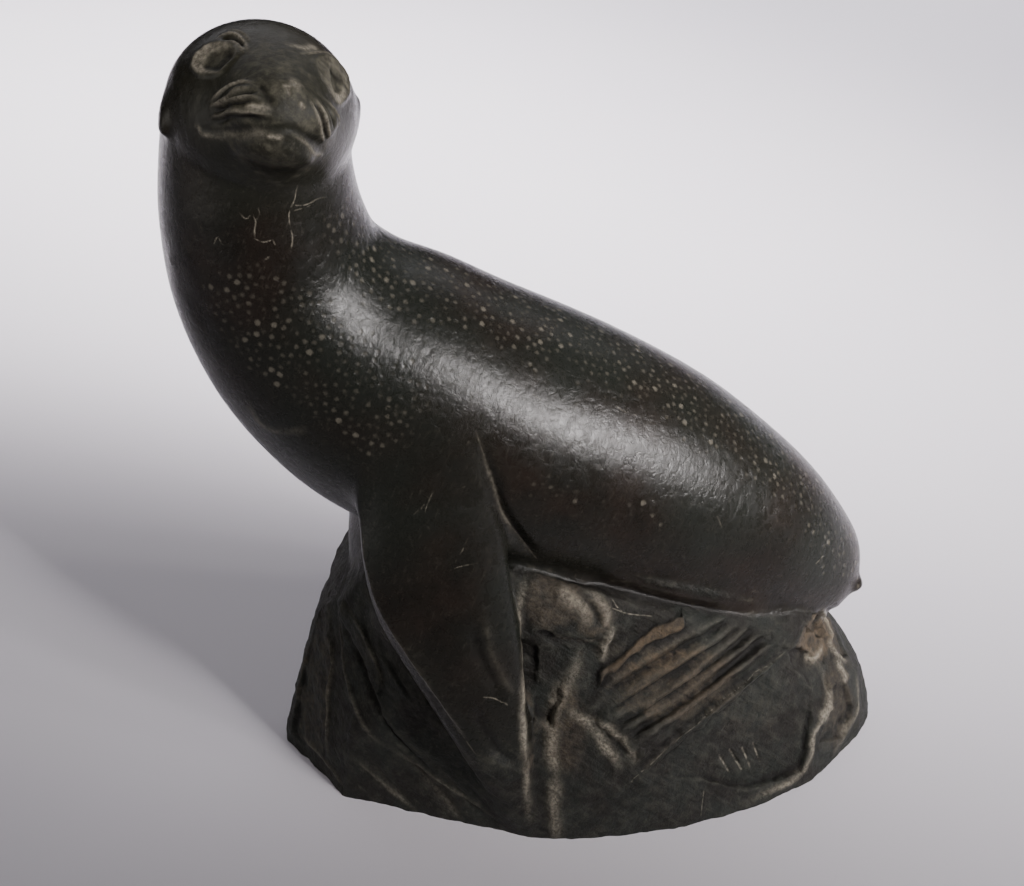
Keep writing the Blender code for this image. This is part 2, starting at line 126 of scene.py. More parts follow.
# Head: middle of the skull, where the face looks, and stations from the back of the skull to the nose:
# distance forward, lift, half width, half height
HEAD_PLACE = (-54.5, -4.0, 134.8)
HEAD_TURN = math.radians(18.6)
HEAD_TILT = math.radians(28.9)
HEAD_ROLL = math.radians(20.3)
HEAD = (
    (-15.6, 0.0, 2.0, 2.0),
    (-14.2, 0.0, 7.0, 6.8),
    (-10.0, 0.3, 12.0, 11.4),
    (-4.0, 0.3, 15.2, 14.2),
    (1.5, 0.0, 15.3, 14.3),
    (6.0, -0.4, 13.2, 12.9),
    (10.0, -1.0, 10.4, 10.4),
    (14.0, -1.8, 7.8, 7.8),
    (17.0, -2.4, 5.6, 5.6),
    (18.8, -2.8, 3.4, 3.4),
    (19.4, -3.0, 1.2, 1.2),
)

# Rounded masses of the face, in the head's directions: right, forward, up, then their radii.
# Those off the middle are made on both sides.
FACE_MASSES = {
    "whisker pad": ((4.0, 13.4, -2.6), (5.0, 5.6, 3.7)),
    "chin": ((0.0, 11.0, -7.8), (6.6, 6.8, 3.2)),
    "nose": ((0.0, 17.2, 0.2), (2.6, 2.4, 2.2)),
}
# Ears, each given on its own, in the same way as the masses
EARS = {
    "left ear": ((-15.0, -1.0, -3.0), (1.2, 2.4, 4.2)),
    "right ear": ((15.0, -0.6, 1.2), (1.2, 2.2, 4.6)),
}

# Flippers: stations along the blade: x, y, z, half width, half thickness. Their flat sides are turned to the
# facing directions; the far hind flipper mirrors the near one.
NEAR_FORE = (
    (-33.0, -10.0, 95.0, 6.0, 3.0),
    (-32.5, -16.5, 86.0, 10.5, 4.6),
    (-31.8, -19.8, 77.0, 12.2, 5.2),
    (-31.0, -22.9, 66.5, 12.6, 5.2),
    (-29.6, -26.2, 54.0, 12.6, 4.8),
    (-26.2, -29.2, 42.5, 10.8, 4.4),
    (-22.2, -32.0, 28.0, 7.8, 3.8),
    (-18.4, -33.4, 13.5, 5.2, 3.2),
    (-15.8, -33.8, 4.0, 3.4, 2.6),
    (-15.0, -33.8, 0.5, 1.6, 1.4),
)
FAR_FORE = (
    (-28.0, 9.0, 90.0, 6.0, 3.0),
    (-29.0, 14.6, 82.0, 10.0, 4.4),
    (-31.0, 18.8, 73.0, 11.4, 4.8),
    (-33.4, 18.2, 64.0, 11.0, 4.8),
    (-37.6, 11.0, 56.5, 9.6, 4.4),
    (-40.0, 0.0, 49.0, 8.4, 4.2),
    (-39.8, -10.0, 40.5, 7.2, 3.8),
    (-37.2, -18.0, 31.0, 6.0, 3.4),
    (-34.4, -22.4, 24.0, 4.2, 3.0),
    (-33.6, -23.6, 21.0, 1.4, 1.4),
)
NEAR_FORE_FACING = (0.0, -1.0, 0.25)
FAR_FORE_FACING = (-0.85, -0.35, 0.3)
HIND_FACING = (0.17, -0.85, 0.5)
SHELF_FACING = (0.0, -1.0, 0.2)
HIND = (
    (42.0, -11.5, 33.0, 3.4, 2.2),
    (36.0, -16.2, 33.0, 5.8, 2.8),
    (28.6, -20.2, 32.0, 7.6, 3.2),
    (17.2, -25.4, 29.2, 8.9, 3.2),
    (7.6, -29.2, 25.2, 9.4, 3.0),
    (2.4, -31.4, 22.4, 9.2, 2.8),
    (1.0, -32.0, 21.4, 8.6, 1.6),
)
# Ribs of the hind flippers: how many, how deep and how rounded the furrows between them are, and over how
# many sections they open
RIB_COUNT = 5
RIB_DEPTH = 1.6
RIB_ROUNDNESS = 0.7
RIBS_OPEN_OVER = 8.0
# How square a flipper's section is: 2 is an ellipse
PLAIN_SQUARENESS = 2.4
RIBBED_SQUARENESS = 3.4

# The rock's broken shelf under the belly, from the near arm to the hind toes, stations as above
SHELF = (
    (-21.0, -16.0, 47.0, 3.0, 3.0),
    (-19.5, -16.6, 46.6, 8.0, 7.8),
    (-12.0, -19.0, 44.8, 9.4, 8.2),
    (-4.0, -20.0, 43.2, 8.8, 7.6),
    (4.0, -19.0, 42.0, 7.4, 6.8),
    (12.0, -16.6, 41.0, 5.0, 6.0),
    (15.0, -15.4, 40.6, 2.0, 2.4),
)

# Rock: level, reach to -X, to +X, to -Y and to +Y
ROCK = (
    (-3.0, 61.3, 61.5, 37.4, 34.0),
    (6.0, 60.0, 59.4, 37.0, 33.6),
    (14.0, 57.6, 55.8, 35.6, 32.4),
    (23.0, 54.6, 49.0, 32.4, 29.8),
    (37.0, 50.6, 43.4, 27.0, 25.5),
    (47.0, 48.2, 38.6, 24.0, 23.0),
    (66.0, 40.0, 32.0, 18.0, 18.0),
)
# Chisel cuts that flatten the rock: azimuth from the front (-Y) towards -X, rise, and reach
CUTS = (
    (56.3, 8.0, 52.2),
    (22.8, 6.0, 38.5),
    (86.0, 28.0, 60.5),
    (-42.0, 9.0, 47.8),
    (-16.0, 14.0, 38.2),
    (-90.0, 48.0, 51.5),
    (0.0, 90.0, 54.0),
    (150.0, 10.0, 36.5),
    (200.0, 12.0, 35.5),
    (118.0, 9.0, 52.5),
)

# Rounded masses beside the main forms: middle, radii
BODY_LUMPS = {
    "stone left behind the near arm": ((-30.0, -15.0, 50.0), (9.0, 11.0, 18.0)),
    "tail tip": ((52.6, -6.4, 33.0), (2.6, 2.4, 1.8)),
}

# Where the masses flow into one another: middle, reach, passes of smoothing
BLENDS = (
    ((-32.0, -23.0, 84.0), 18.0, 140),
    ((-38.0, -24.0, 72.0), 12.0, 90),
    ((-21.0, -24.0, 80.0), 9.0, 60),
    ((-30.0, 22.0, 80.0), 20.0, 140),
    ((-50.0, -14.0, 126.0), 9.0, 24),
    ((-66.0, -2.0, 127.0), 11.0, 60),
    ((-52.0, 9.0, 128.0), 13.0, 60),
    ((-42.0, 2.0, 126.0), 9.0, 24),
    ((-34.5, -22.5, 25.0), 8.0, 90),
    ((-12.9, -26.8, 36.0), 6.0, 120),
    ((-10.4, -29.3, 25.8), 6.0, 120),
    ((15.5, -23.0, 41.5), 4.0, 60),
    ((3.0, -22.0, 50.5), 5.0, 40),
    ((12.0, -21.8, 46.8), 6.0, 60),
    ((21.0, -20.5, 43.2), 7.0, 70),
    ((30.0, -19.0, 39.5), 6.0, 60),
    ((-19.5, -34.0, 6.0), 11.0, 60),
)

# Flat planes cut on the rock and the flippers: how deep they are sunk (raised below 0), how dusty they
# are, and their corners. All come to one plane through the corners' middle.
PLANES = {
    "far flipper, bevel": (-0.35, 0.35, (
        (-47.3, -9.4, 38.5), (-44.0, -14.6, 35.2), (-41.9, -17.9, 31.4), (-41.0, -20.5, 26.7),
        (-41.7, -20.5, 24.1), (-44.4, -16.5, 28.3), (-46.4, -12.9, 32.3), (-48.2, -9.2, 35.0),
    )),
    "far flipper, inner face": (0.5, 0.0, (
        (-42.0, -15.1, 38.1), (-39.2, -19.2, 36.9), (-36.9, -22.4, 33.6), (-34.2, -24.7, 29.5),
        (-32.2, -25.4, 25.6), (-35.5, -25.4, 25.3), (-38.2, -22.6, 29.0), (-40.5, -18.9, 32.9),
    )),
    "chest end, outer face": (0.2, 0.5, (
        (-49.8, -1.5, 35.5), (-55.0, -1.6, 21.4), (-59.2, -5.2, 2.5), (-52.8, -14.6, 4.7),
        (-50.7, -10.7, 25.1),
    )),
    "chest end, narrow face": (0.1, 0.3, (
        (-49.9, -4.3, 34.7), (-50.7, -10.7, 25.1), (-52.2, -14.6, 8.4), (-48.1, -19.6, 12.6),
        (-46.2, -18.7, 19.8), (-48.4, -6.9, 37.2),
    )),
    "chest end, hollow face": (0.25, 0.1, (
        (-47.8, -9.9, 35.0), (-46.4, -12.9, 32.3), (-44.4, -16.5, 28.3), (-41.7, -20.5, 24.1),
        (-41.2, -22.6, 18.5), (-43.8, -21.7, 16.5), (-46.2, -18.7, 19.8), (-48.0, -13.1, 26.9),
    )),
    "near flipper, lower face": (0.15, 0.3, (
        (-23.7, -34.6, 36.6), (-20.8, -34.5, 36.2), (-18.3, -34.7, 32.1), (-16.2, -34.8, 28.6),
        (-15.4, -35.5, 20.0), (-18.9, -36.1, 22.7), (-22.6, -35.4, 31.0),
    )),
    "recess beside the shelf": (0.3, 0.12, (
        (-12.6, -27.4, 42.8), (-7.8, -27.8, 41.6), (-4.0, -27.7, 41.0), (-0.9, -27.2, 40.0),
        (-4.9, -27.1, 37.1), (-8.0, -28.3, 30.0), (-10.0, -29.8, 23.5), (-12.8, -29.4, 25.8),
    )),
    "strip above the hind flipper": (-0.8, 1.0, (
        (15.1, -23.3, 42.0), (9.0, -25.3, 40.4), (4.1, -27.7, 36.9), (-0.7, -28.3, 33.5),
        (-1.1, -29.4, 30.9), (4.1, -28.3, 35.7), (8.9, -26.9, 37.9), (14.9, -25.2, 40.0),
    )),
    "hind flipper, lower side": (0.6, 0.12, (
        (36.7, -21.1, 29.6), (22.5, -29.3, 25.6), (6.6, -35.1, 14.7), (5.1, -34.9, 15.9),
        (7.4, -34.7, 19.8), (13.3, -32.0, 23.7), (22.5, -27.9, 28.6), (32.1, -22.5, 31.9),
    )),
    "smooth face with strokes": (0.6, 0.16, (
        (6.8, -35.2, 14.0), (36.7, -21.3, 29.0), (42.5, -19.8, 18.4), (39.8, -27.1, 3.2),
        (27.3, -31.9, 4.7), (16.2, -33.5, 10.4),
    )),
    "rump end, pale lump": (-0.3, 0.9, (
        (37.9, -20.1, 29.9), (41.4, -16.3, 24.7), (46.8, -14.2, 18.9), (47.0, -10.6, 22.3),
        (41.2, -16.8, 31.0),
    )),
    "rump end, pale face": (0.1, 1.0, (
        (46.0, -11.4, 31.5), (50.0, -2.6, 21.2), (53.9, -7.0, 15.0), (51.6, -10.0, 16.4),
        (47.9, -10.6, 20.6),
    )),
    "rump end, lower face": (0.1, 0.3, (
        (50.0, -13.2, 14.8), (52.6, -14.6, 7.4), (50.6, -17.6, 3.0), (43.9, -22.7, 6.7),
        (45.4, -21.2, 11.0), (46.8, -17.9, 14.6),
    )),
}
# How wide a plane's edge is, how far from it the stone still comes to it, what share of the way it comes,
# and how uneven the outline is
PLANE_EDGE = 0.35
PLANE_DEPTH = 3.2
PLANE_FLATNESS = 0.75
PLANE_UNEVENNESS = 0.7

# Lines cut on the seal and the rock: kind, half width, depth, paleness, path.
# A groove is cut in, a ridge stands up softly, a crest stands up sharply, a rough line is a broken ridge,
# and a step drops the stone on one side: the right side, seen from outside, of a path walked forwards.
WORK = {
    "near arm, rear crease": ("groove", 1.3, 1.0, 0.0, (
        (-22.8, -24.0, 83.5), (-20.6, -25.0, 76.0), (-18.7, -25.2, 68.9), (-15.1, -24.2, 61.0),
        (-11.8, -22.6, 55.0),
    )),
    "near arm, line in the crease": ("groove", 0.35, 0.2, 0.5, (
        (-22.8, -22.9, 84.3), (-20.1, -24.2, 74.8), (-18.4, -24.1, 67.9), (-15.7, -23.2, 62.3),
        (-12.0, -22.3, 55.8),
    )),
    "near flipper, front rim": ("ridge", 1.2, 0.45, 0.0, (
        (-40.1, -22.7, 85.3), (-42.0, -23.1, 77.6), (-42.7, -23.5, 69.3), (-41.8, -28.5, 55.6),
        (-36.0, -32.4, 43.4), (-27.6, -35.2, 28.4),
    )),
    "near flipper, front edge": ("step", 4.0, 0.6, 0.45, (
        (-42.7, -23.5, 69.3), (-43.0, -26.2, 62.3), (-41.8, -28.5, 55.6), (-40.6, -29.7, 51.9),
        (-36.0, -32.4, 43.4), (-31.1, -34.3, 34.4), (-27.6, -35.2, 28.4), (-25.4, -35.8, 24.2),
    )),
    "near flipper, broken rear edge": ("rough", 0.9, 0.4, 0.95, (
        (-12.6, -23.2, 54.6), (-14.6, -24.6, 51.4), (-15.6, -27.1, 46.9), (-15.5, -28.1, 43.6),
        (-15.4, -32.7, 35.1), (-15.4, -34.6, 28.3), (-15.1, -35.7, 20.0), (-14.7, -35.9, 3.1),
    )),
    "near flipper, hollow before the rear edge": ("groove", 1.6, 0.7, 0.0, (
        (-24.4, -31.0, 50.0), (-23.6, -32.4, 44.4), (-21.7, -33.5, 39.7), (-19.0, -34.3, 33.6),
    )),
    "near flipper, band before the rear edge": ("ridge", 1.0, 0.3, 0.15, (
        (-22.5, -31.1, 52.1), (-21.5, -32.9, 44.4), (-19.5, -33.7, 38.7), (-16.8, -33.9, 33.6),
    )),
    "near flipper, hollow below": ("groove", 1.3, 0.7, 0.0, (
        (-24.6, -35.1, 34.0), (-22.9, -35.7, 28.2), (-19.8, -36.1, 22.3), (-15.9, -36.0, 18.6),
    )),
    "far flipper, inner edge": ("crest", 0.6, 0.25, 0.3, (
        (-47.1, -9.6, 38.7), (-43.7, -15.1, 34.9), (-41.4, -19.0, 30.1), (-40.8, -21.0, 25.5),
    )),
    "far flipper, outer edge": ("groove", 0.6, 0.7, 0.0, (
        (-48.4, -9.2, 35.6), (-46.4, -13.1, 31.9), (-44.4, -16.7, 28.0), (-41.9, -21.2, 21.8),
        (-37.5, -24.6, 15.4), (-30.8, -28.3, 9.0),
    )),
    "chest end, first edge": ("crest", 0.8, 0.4, 0.35, (
        (-49.7, -4.3, 35.2), (-50.6, -10.7, 25.1), (-51.9, -13.2, 15.4), (-52.2, -14.6, 8.4),
        (-51.6, -16.2, 4.4),
    )),
    "chest end, second edge": ("crest", 0.7, 0.35, 0.25, (
        (-48.3, -7.4, 36.8), (-48.2, -13.1, 26.9), (-46.2, -18.7, 19.8), (-43.8, -21.7, 16.5),
        (-40.5, -24.2, 14.0),
    )),
    "chest end, low edge": ("crest", 0.7, 0.35, 0.3, (
        (-58.4, -6.4, 3.4), (-55.9, -10.3, 4.2), (-51.6, -16.6, 3.6), (-49.0, -20.9, 1.6),
    )),
    "under the belly": ("groove", 1.3, 1.9, 0.0, (
        (-16.5, -22.0, 53.9), (-11.5, -22.9, 53.3), (-4.3, -23.8, 51.6), (3.2, -22.8, 48.2),
        (10.8, -22.5, 44.8), (18.6, -21.9, 41.6), (24.0, -21.4, 39.6), (29.0, -20.4, 37.8),
    )),
    "shelf, lower edge": ("step", 2.6, 0.6, 0.45, (
        (-13.4, -27.2, 44.0), (-11.0, -27.3, 43.3), (-7.2, -26.2, 41.4), (-2.6, -26.1, 39.6),
        (-0.2, -26.9, 41.0),
    )),
    "shelf, first crag": ("rough", 1.3, 0.6, 0.7, (
        (-8.6, -24.6, 52.0), (-6.4, -25.8, 49.4), (-3.6, -26.9, 46.4), (-3.2, -27.4, 43.4),
    )),
    "shelf, second crag": ("rough", 1.2, 0.5, 0.7, (
        (-3.6, -24.0, 50.6), (-1.2, -25.4, 48.2), (0.2, -26.2, 45.6), (0.2, -26.9, 42.8),
    )),
    "shelf, hollow between the crags": ("groove", 0.7, 0.7, 0.0, (
        (-6.2, -24.4, 50.8), (-3.4, -25.9, 48.0), (-1.4, -26.8, 45.0), (-1.2, -27.2, 42.8),
    )),
    "channel beside the near flipper": ("groove", 2.0, 0.45, 0.0, (
        (-7.4, -27.0, 38.5), (-9.6, -28.8, 30.6), (-11.2, -31.5, 22.0), (-11.5, -34.0, 12.0),
        (-11.6, -36.0, -6.0),
    )),
    "ridge beside the channel": ("rough", 1.4, 0.5, 0.8, (
        (-3.6, -27.0, 38.6), (-5.9, -28.2, 33.9), (-7.7, -28.7, 29.7), (-8.9, -30.0, 24.7),
        (-10.4, -31.6, 19.2), (-9.9, -33.4, 14.4), (-9.2, -36.6, -4.0),
    )),
    "flake": ("crest", 1.2, 0.9, 0.8, ((1.7, -26.0, 43.2), (0.3, -27.0, 39.6), (-0.6, -27.8, 35.0))),
    "hind flipper, lower edge": ("groove", 0.35, 0.45, 0.35, (
        (36.7, -21.1, 29.6), (22.5, -29.3, 25.6), (6.6, -35.2, 14.5), (4.7, -35.9, 12.3),
    )),
    "fold at the hind toes, upper": ("rough", 1.0, 0.7, 0.9, (
        (-3.8, -31.8, 25.6), (0.8, -32.9, 23.2), (4.0, -34.4, 19.6), (5.6, -34.9, 15.4),
    )),
    "fold at the hind toes, lower": ("rough", 1.2, 0.6, 0.8, (
        (-7.4, -30.9, 27.6), (-3.2, -32.1, 24.3), (0.7, -34.3, 18.4), (3.4, -34.9, 15.4),
    )),
    "rump end, first broken edge": ("rough", 1.0, 0.6, 0.85, (
        (44.8, -15.2, 21.2), (46.0, -17.9, 15.3), (44.5, -22.4, 12.6), (42.2, -24.7, 9.6),
        (42.3, -26.0, 6.3), (39.7, -27.9, 3.0), (31.0, -31.4, 1.9), (26.8, -32.9, 1.2),
    )),
    "rump end, first chip": ("rough", 1.5, 0.7, 1.0, (
        (48.6, -16.6, 13.6), (45.8, -20.2, 13.2), (43.2, -23.4, 12.2),
    )),
    "rump end, second chip": ("rough", 1.2, 0.5, 0.9, (
        (41.7, -16.8, 24.6), (43.6, -16.0, 22.4), (46.4, -12.4, 22.0),
    )),
    "rump end, third chip": ("rough", 1.3, 0.5, 0.9, ((49.7, -11.4, 18.4), (51.7, -13.6, 13.0))),
    "rump end, dark cut": ("groove", 0.7, 0.9, 0.0, (
        (45.6, -15.2, 18.0), (45.4, -18.2, 13.4), (45.0, -19.8, 9.0),
    )),
    "rump end, second broken edge": ("rough", 1.0, 0.5, 0.6, (
        (54.4, -9.0, 12.6), (55.0, -12.0, 8.0), (53.1, -14.6, 4.9), (47.3, -20.7, 0.9),
    )),
    "rump end, upper edge": ("crest", 0.9, 0.6, 0.8, (
        (44.8, -13.4, 33.0), (47.7, -7.4, 24.7), (48.4, -10.2, 20.6), (51.6, -10.0, 16.4),
        (54.4, -7.9, 13.9),
    )),
    "long tool mark 1": ("groove", 0.8, 0.3, 0.12, (
        (-42.5, -22.4, 16.5), (-34.5, -26.3, 10.3), (-25.6, -31.4, 0.0),
    )),
    "long tool mark 2": ("groove", 0.7, 0.25, 0.1, (
        (-39.1, -23.6, 18.1), (-31.8, -27.6, 12.0), (-22.4, -32.7, 1.8),
    )),
    "long tool mark 3": ("groove", 0.9, 0.3, 0.1, (
        (-45.7, -21.7, 11.2), (-40.5, -24.2, 5.7), (-34.9, -27.4, 0.0),
    )),
    "bottom tool mark 1": ("groove", 0.7, 0.35, 0.2, (
        (-39.5, -23.6, 15.5), (-32.6, -27.5, 7.2), (-25.6, -31.4, -1.4),
    )),
    "bottom tool mark 2": ("crest", 0.6, 0.3, 0.35, (
        (-47.7, -20.7, 10.2), (-41.4, -24.0, 5.0), (-34.9, -27.4, -0.5),
    )),
    "bottom tool mark 3": ("crest", 0.6, 0.3, 0.4, (
        (-40.9, -23.1, 14.5), (-31.0, -28.4, 8.6), (-20.0, -33.4, 2.8),
    )),
    "chest fold": ("groove", 1.6, 0.2, 0.0, (
        (-71.0, -8.9, 107.1), (-67.7, -13.2, 106.3), (-66.2, -14.3, 102.8), (-66.8, -13.1, 97.8),
    )),
    "lower chest crease": ("ridge", 0.7, 0.1, 0.4, (
        (-61.1, -15.9, 88.4), (-58.6, -16.3, 83.5), (-54.7, -18.8, 83.4), (-50.4, -21.0, 85.3),
    )),
    "throat, upper fold": ("ridge", 1.6, 0.14, 0.0, (
        (-71.1, -8.1, 121.1), (-67.8, -12.3, 121.0), (-63.7, -15.1, 121.2), (-58.9, -16.5, 121.5),
        (-54.5, -16.5, 122.1), (-50.7, -15.3, 122.9),
    )),
    "throat, hollow under the fold": ("groove", 1.6, 0.16, 0.0, (
        (-64.7, -14.8, 118.6), (-59.1, -16.8, 118.6), (-54.7, -16.8, 119.1), (-51.2, -15.8, 120.2),
    )),
    "throat, lower fold": ("ridge", 1.3, 0.3, 0.0, (
        (-72.0, -6.9, 110.4), (-69.5, -11.3, 113.7), (-66.6, -13.9, 115.6),
    )),
}
# The line under the belly goes on to the rump over these places, and the skin above it is the seal's: how far
# from the line that is told and how firmly, and how wide and how strong the dull strip along it is
BELLY_END = ((34.0, -18.6, 36.0), (38.0, -16.8, 34.4), (42.0, -14.5, 32.6))
BELLY_REACH = 4.0
BELLY_FIRMNESS = 3.0
BELLY_MATT = 1.4
BELLY_DULLNESS = 0.45

# Crests of the hind flipper's ribs. All crests have one half width, depth and paleness, and so have the
# grooves between them.
RIB_CRESTS = (
    ((24.0, -21.6, 39.0), (15.8, -24.9, 38.0), (6.1, -27.9, 34.1), (0.1, -29.8, 30.9)),
    ((26.4, -21.6, 37.4), (17.9, -25.6, 34.6), (8.9, -28.6, 32.0), (0.0, -31.0, 28.3)),
    ((28.8, -21.2, 36.2), (21.3, -25.1, 33.2), (11.2, -29.9, 28.8), (0.4, -32.6, 25.4)),
    ((30.8, -21.4, 34.4), (23.8, -25.3, 31.9), (13.5, -30.2, 27.4), (3.0, -33.4, 23.6)),
    ((32.8, -21.8, 32.6), (26.3, -26.0, 29.8), (16.3, -30.7, 26.2), (5.5, -34.2, 21.4)),
)
RIB_CREST = (0.8, 0.3, 0.1)
RIB_GROOVE = (0.75, 0.8, 0.0)

# Fine lines, drawn by the material from their exact paths: half width, paleness and path
FINE_LINES = (
    (0.12, 0.68, (
        (-56.9, -16.5, 122.8), (-56.5, -16.7, 121.5), (-56.8, -16.9, 120.0), (-56.8, -17.0, 118.7),
    )),
    (0.11, 0.51, ((-59.0, -16.3, 123.1), (-58.0, -16.6, 122.1), (-57.1, -16.5, 122.7))),
    (0.10, 0.42, ((-55.9, -16.4, 123.7), (-55.8, -16.5, 122.8), (-56.4, -16.7, 121.7))),
    (0.11, 0.59, (
        (-56.9, -17.0, 118.7), (-55.7, -17.1, 118.1), (-54.2, -16.9, 118.2), (-53.8, -16.9, 117.7),
    )),
    (0.11, 0.72, (
        (-49.6, -15.3, 126.7), (-50.2, -15.0, 124.4), (-51.0, -15.4, 122.8), (-51.3, -15.7, 121.6),
        (-51.2, -15.9, 120.1), (-51.0, -16.1, 118.1), (-51.3, -16.5, 116.2),
    )),
    (0.11, 0.51, (
        (-50.4, -15.1, 123.3), (-48.5, -14.1, 122.9), (-46.6, -12.8, 123.2), (-45.4, -11.8, 122.9),
    )),
    (0.10, 0.38, ((-50.7, -15.3, 122.4), (-49.2, -14.6, 122.5), (-47.7, -13.7, 122.6))),
    (0.19, 0.77, ((-55.5, -17.4, 115.2), (-54.8, -17.4, 115.5))),
    (0.10, 0.42, ((-63.6, -15.6, 117.3), (-62.8, -15.8, 118.6), (-62.1, -16.2, 117.5))),
    (0.11, 0.42, ((-31.2, -26.1, 73.8), (-32.0, -26.6, 72.1), (-33.9, -26.9, 70.4))),
    (0.10, 0.34, ((-30.4, -26.0, 74.2), (-31.3, -26.5, 72.4), (-32.1, -27.1, 70.4))),
    (0.11, 0.42, ((-24.3, -27.8, 66.3), (-25.8, -28.7, 63.5), (-27.5, -29.5, 60.9))),
    (0.10, 0.34, ((-28.0, -29.7, 60.2), (-25.9, -29.4, 60.7), (-23.1, -28.9, 60.8))),
    (0.11, 0.59, ((42.0, -15.0, 44.9), (43.9, -13.5, 45.8))),
    (0.10, 0.34, ((20.7, -20.4, 61.7), (21.9, -20.8, 58.6))),
    (0.10, 0.42, ((-12.8, -18.2, 88.1), (-11.5, -18.4, 87.1), (-9.9, -18.5, 86.3))),
    (0.10, 0.34, ((1.8, -15.1, 83.4), (4.0, -15.6, 81.6), (6.8, -15.2, 80.3))),
    (0.12, 0.68, ((1.0, -24.9, 48.4), (3.6, -25.7, 44.9), (9.0, -24.6, 42.8))),
    (0.11, 0.59, ((-0.4, -25.7, 47.2), (1.7, -25.6, 46.0), (3.6, -25.7, 44.9))),
    (0.11, 0.42, ((36.7, -21.1, 29.6), (22.5, -29.3, 25.6), (6.6, -35.2, 14.5), (4.7, -35.9, 12.3))),
    (0.11, 0.42, (
        (-22.8, -22.9, 84.3), (-20.1, -24.2, 74.8), (-18.4, -24.1, 67.9), (-15.7, -23.2, 62.3),
        (-12.0, -22.3, 55.8),
    )),
    (0.11, 0.34, (
        (-42.5, -25.0, 66.5), (-41.8, -28.5, 55.6), (-36.0, -32.4, 43.4), (-31.1, -34.3, 34.4),
        (-24.6, -36.0, 22.6),
    )),
    (0.10, 0.51, ((19.2, -33.7, 6.8), (18.7, -35.5, 1.5))),
    (0.11, 0.51, ((-22.9, -35.2, 35.2), (-20.6, -35.4, 34.6), (-18.6, -35.4, 32.6))),
)

# Shallow strokes cut where the rock is smooth, in a row. Each has a half width, depth and paleness, and a
# thin line along its bottom with a half width and paleness. The skin's direction is taken over the flat
# reach, and the stroke is laid on the skin from the flat lift above it.
STROKES = (
    ((22.8, -31.2, 12.6), (25.0, -31.7, 8.4)),
    ((25.1, -30.4, 13.0), (27.4, -30.8, 8.2)),
    ((27.9, -30.2, 12.6), (29.4, -30.6, 8.2)),
    ((30.2, -29.4, 12.9), (31.6, -30.0, 8.6)),
)
STROKE = (0.35, 0.3, 0.0)
STROKE_LINE = (0.2, 0.6)
FLAT_REACH = 5.0
FLAT_LIFT = 4.0

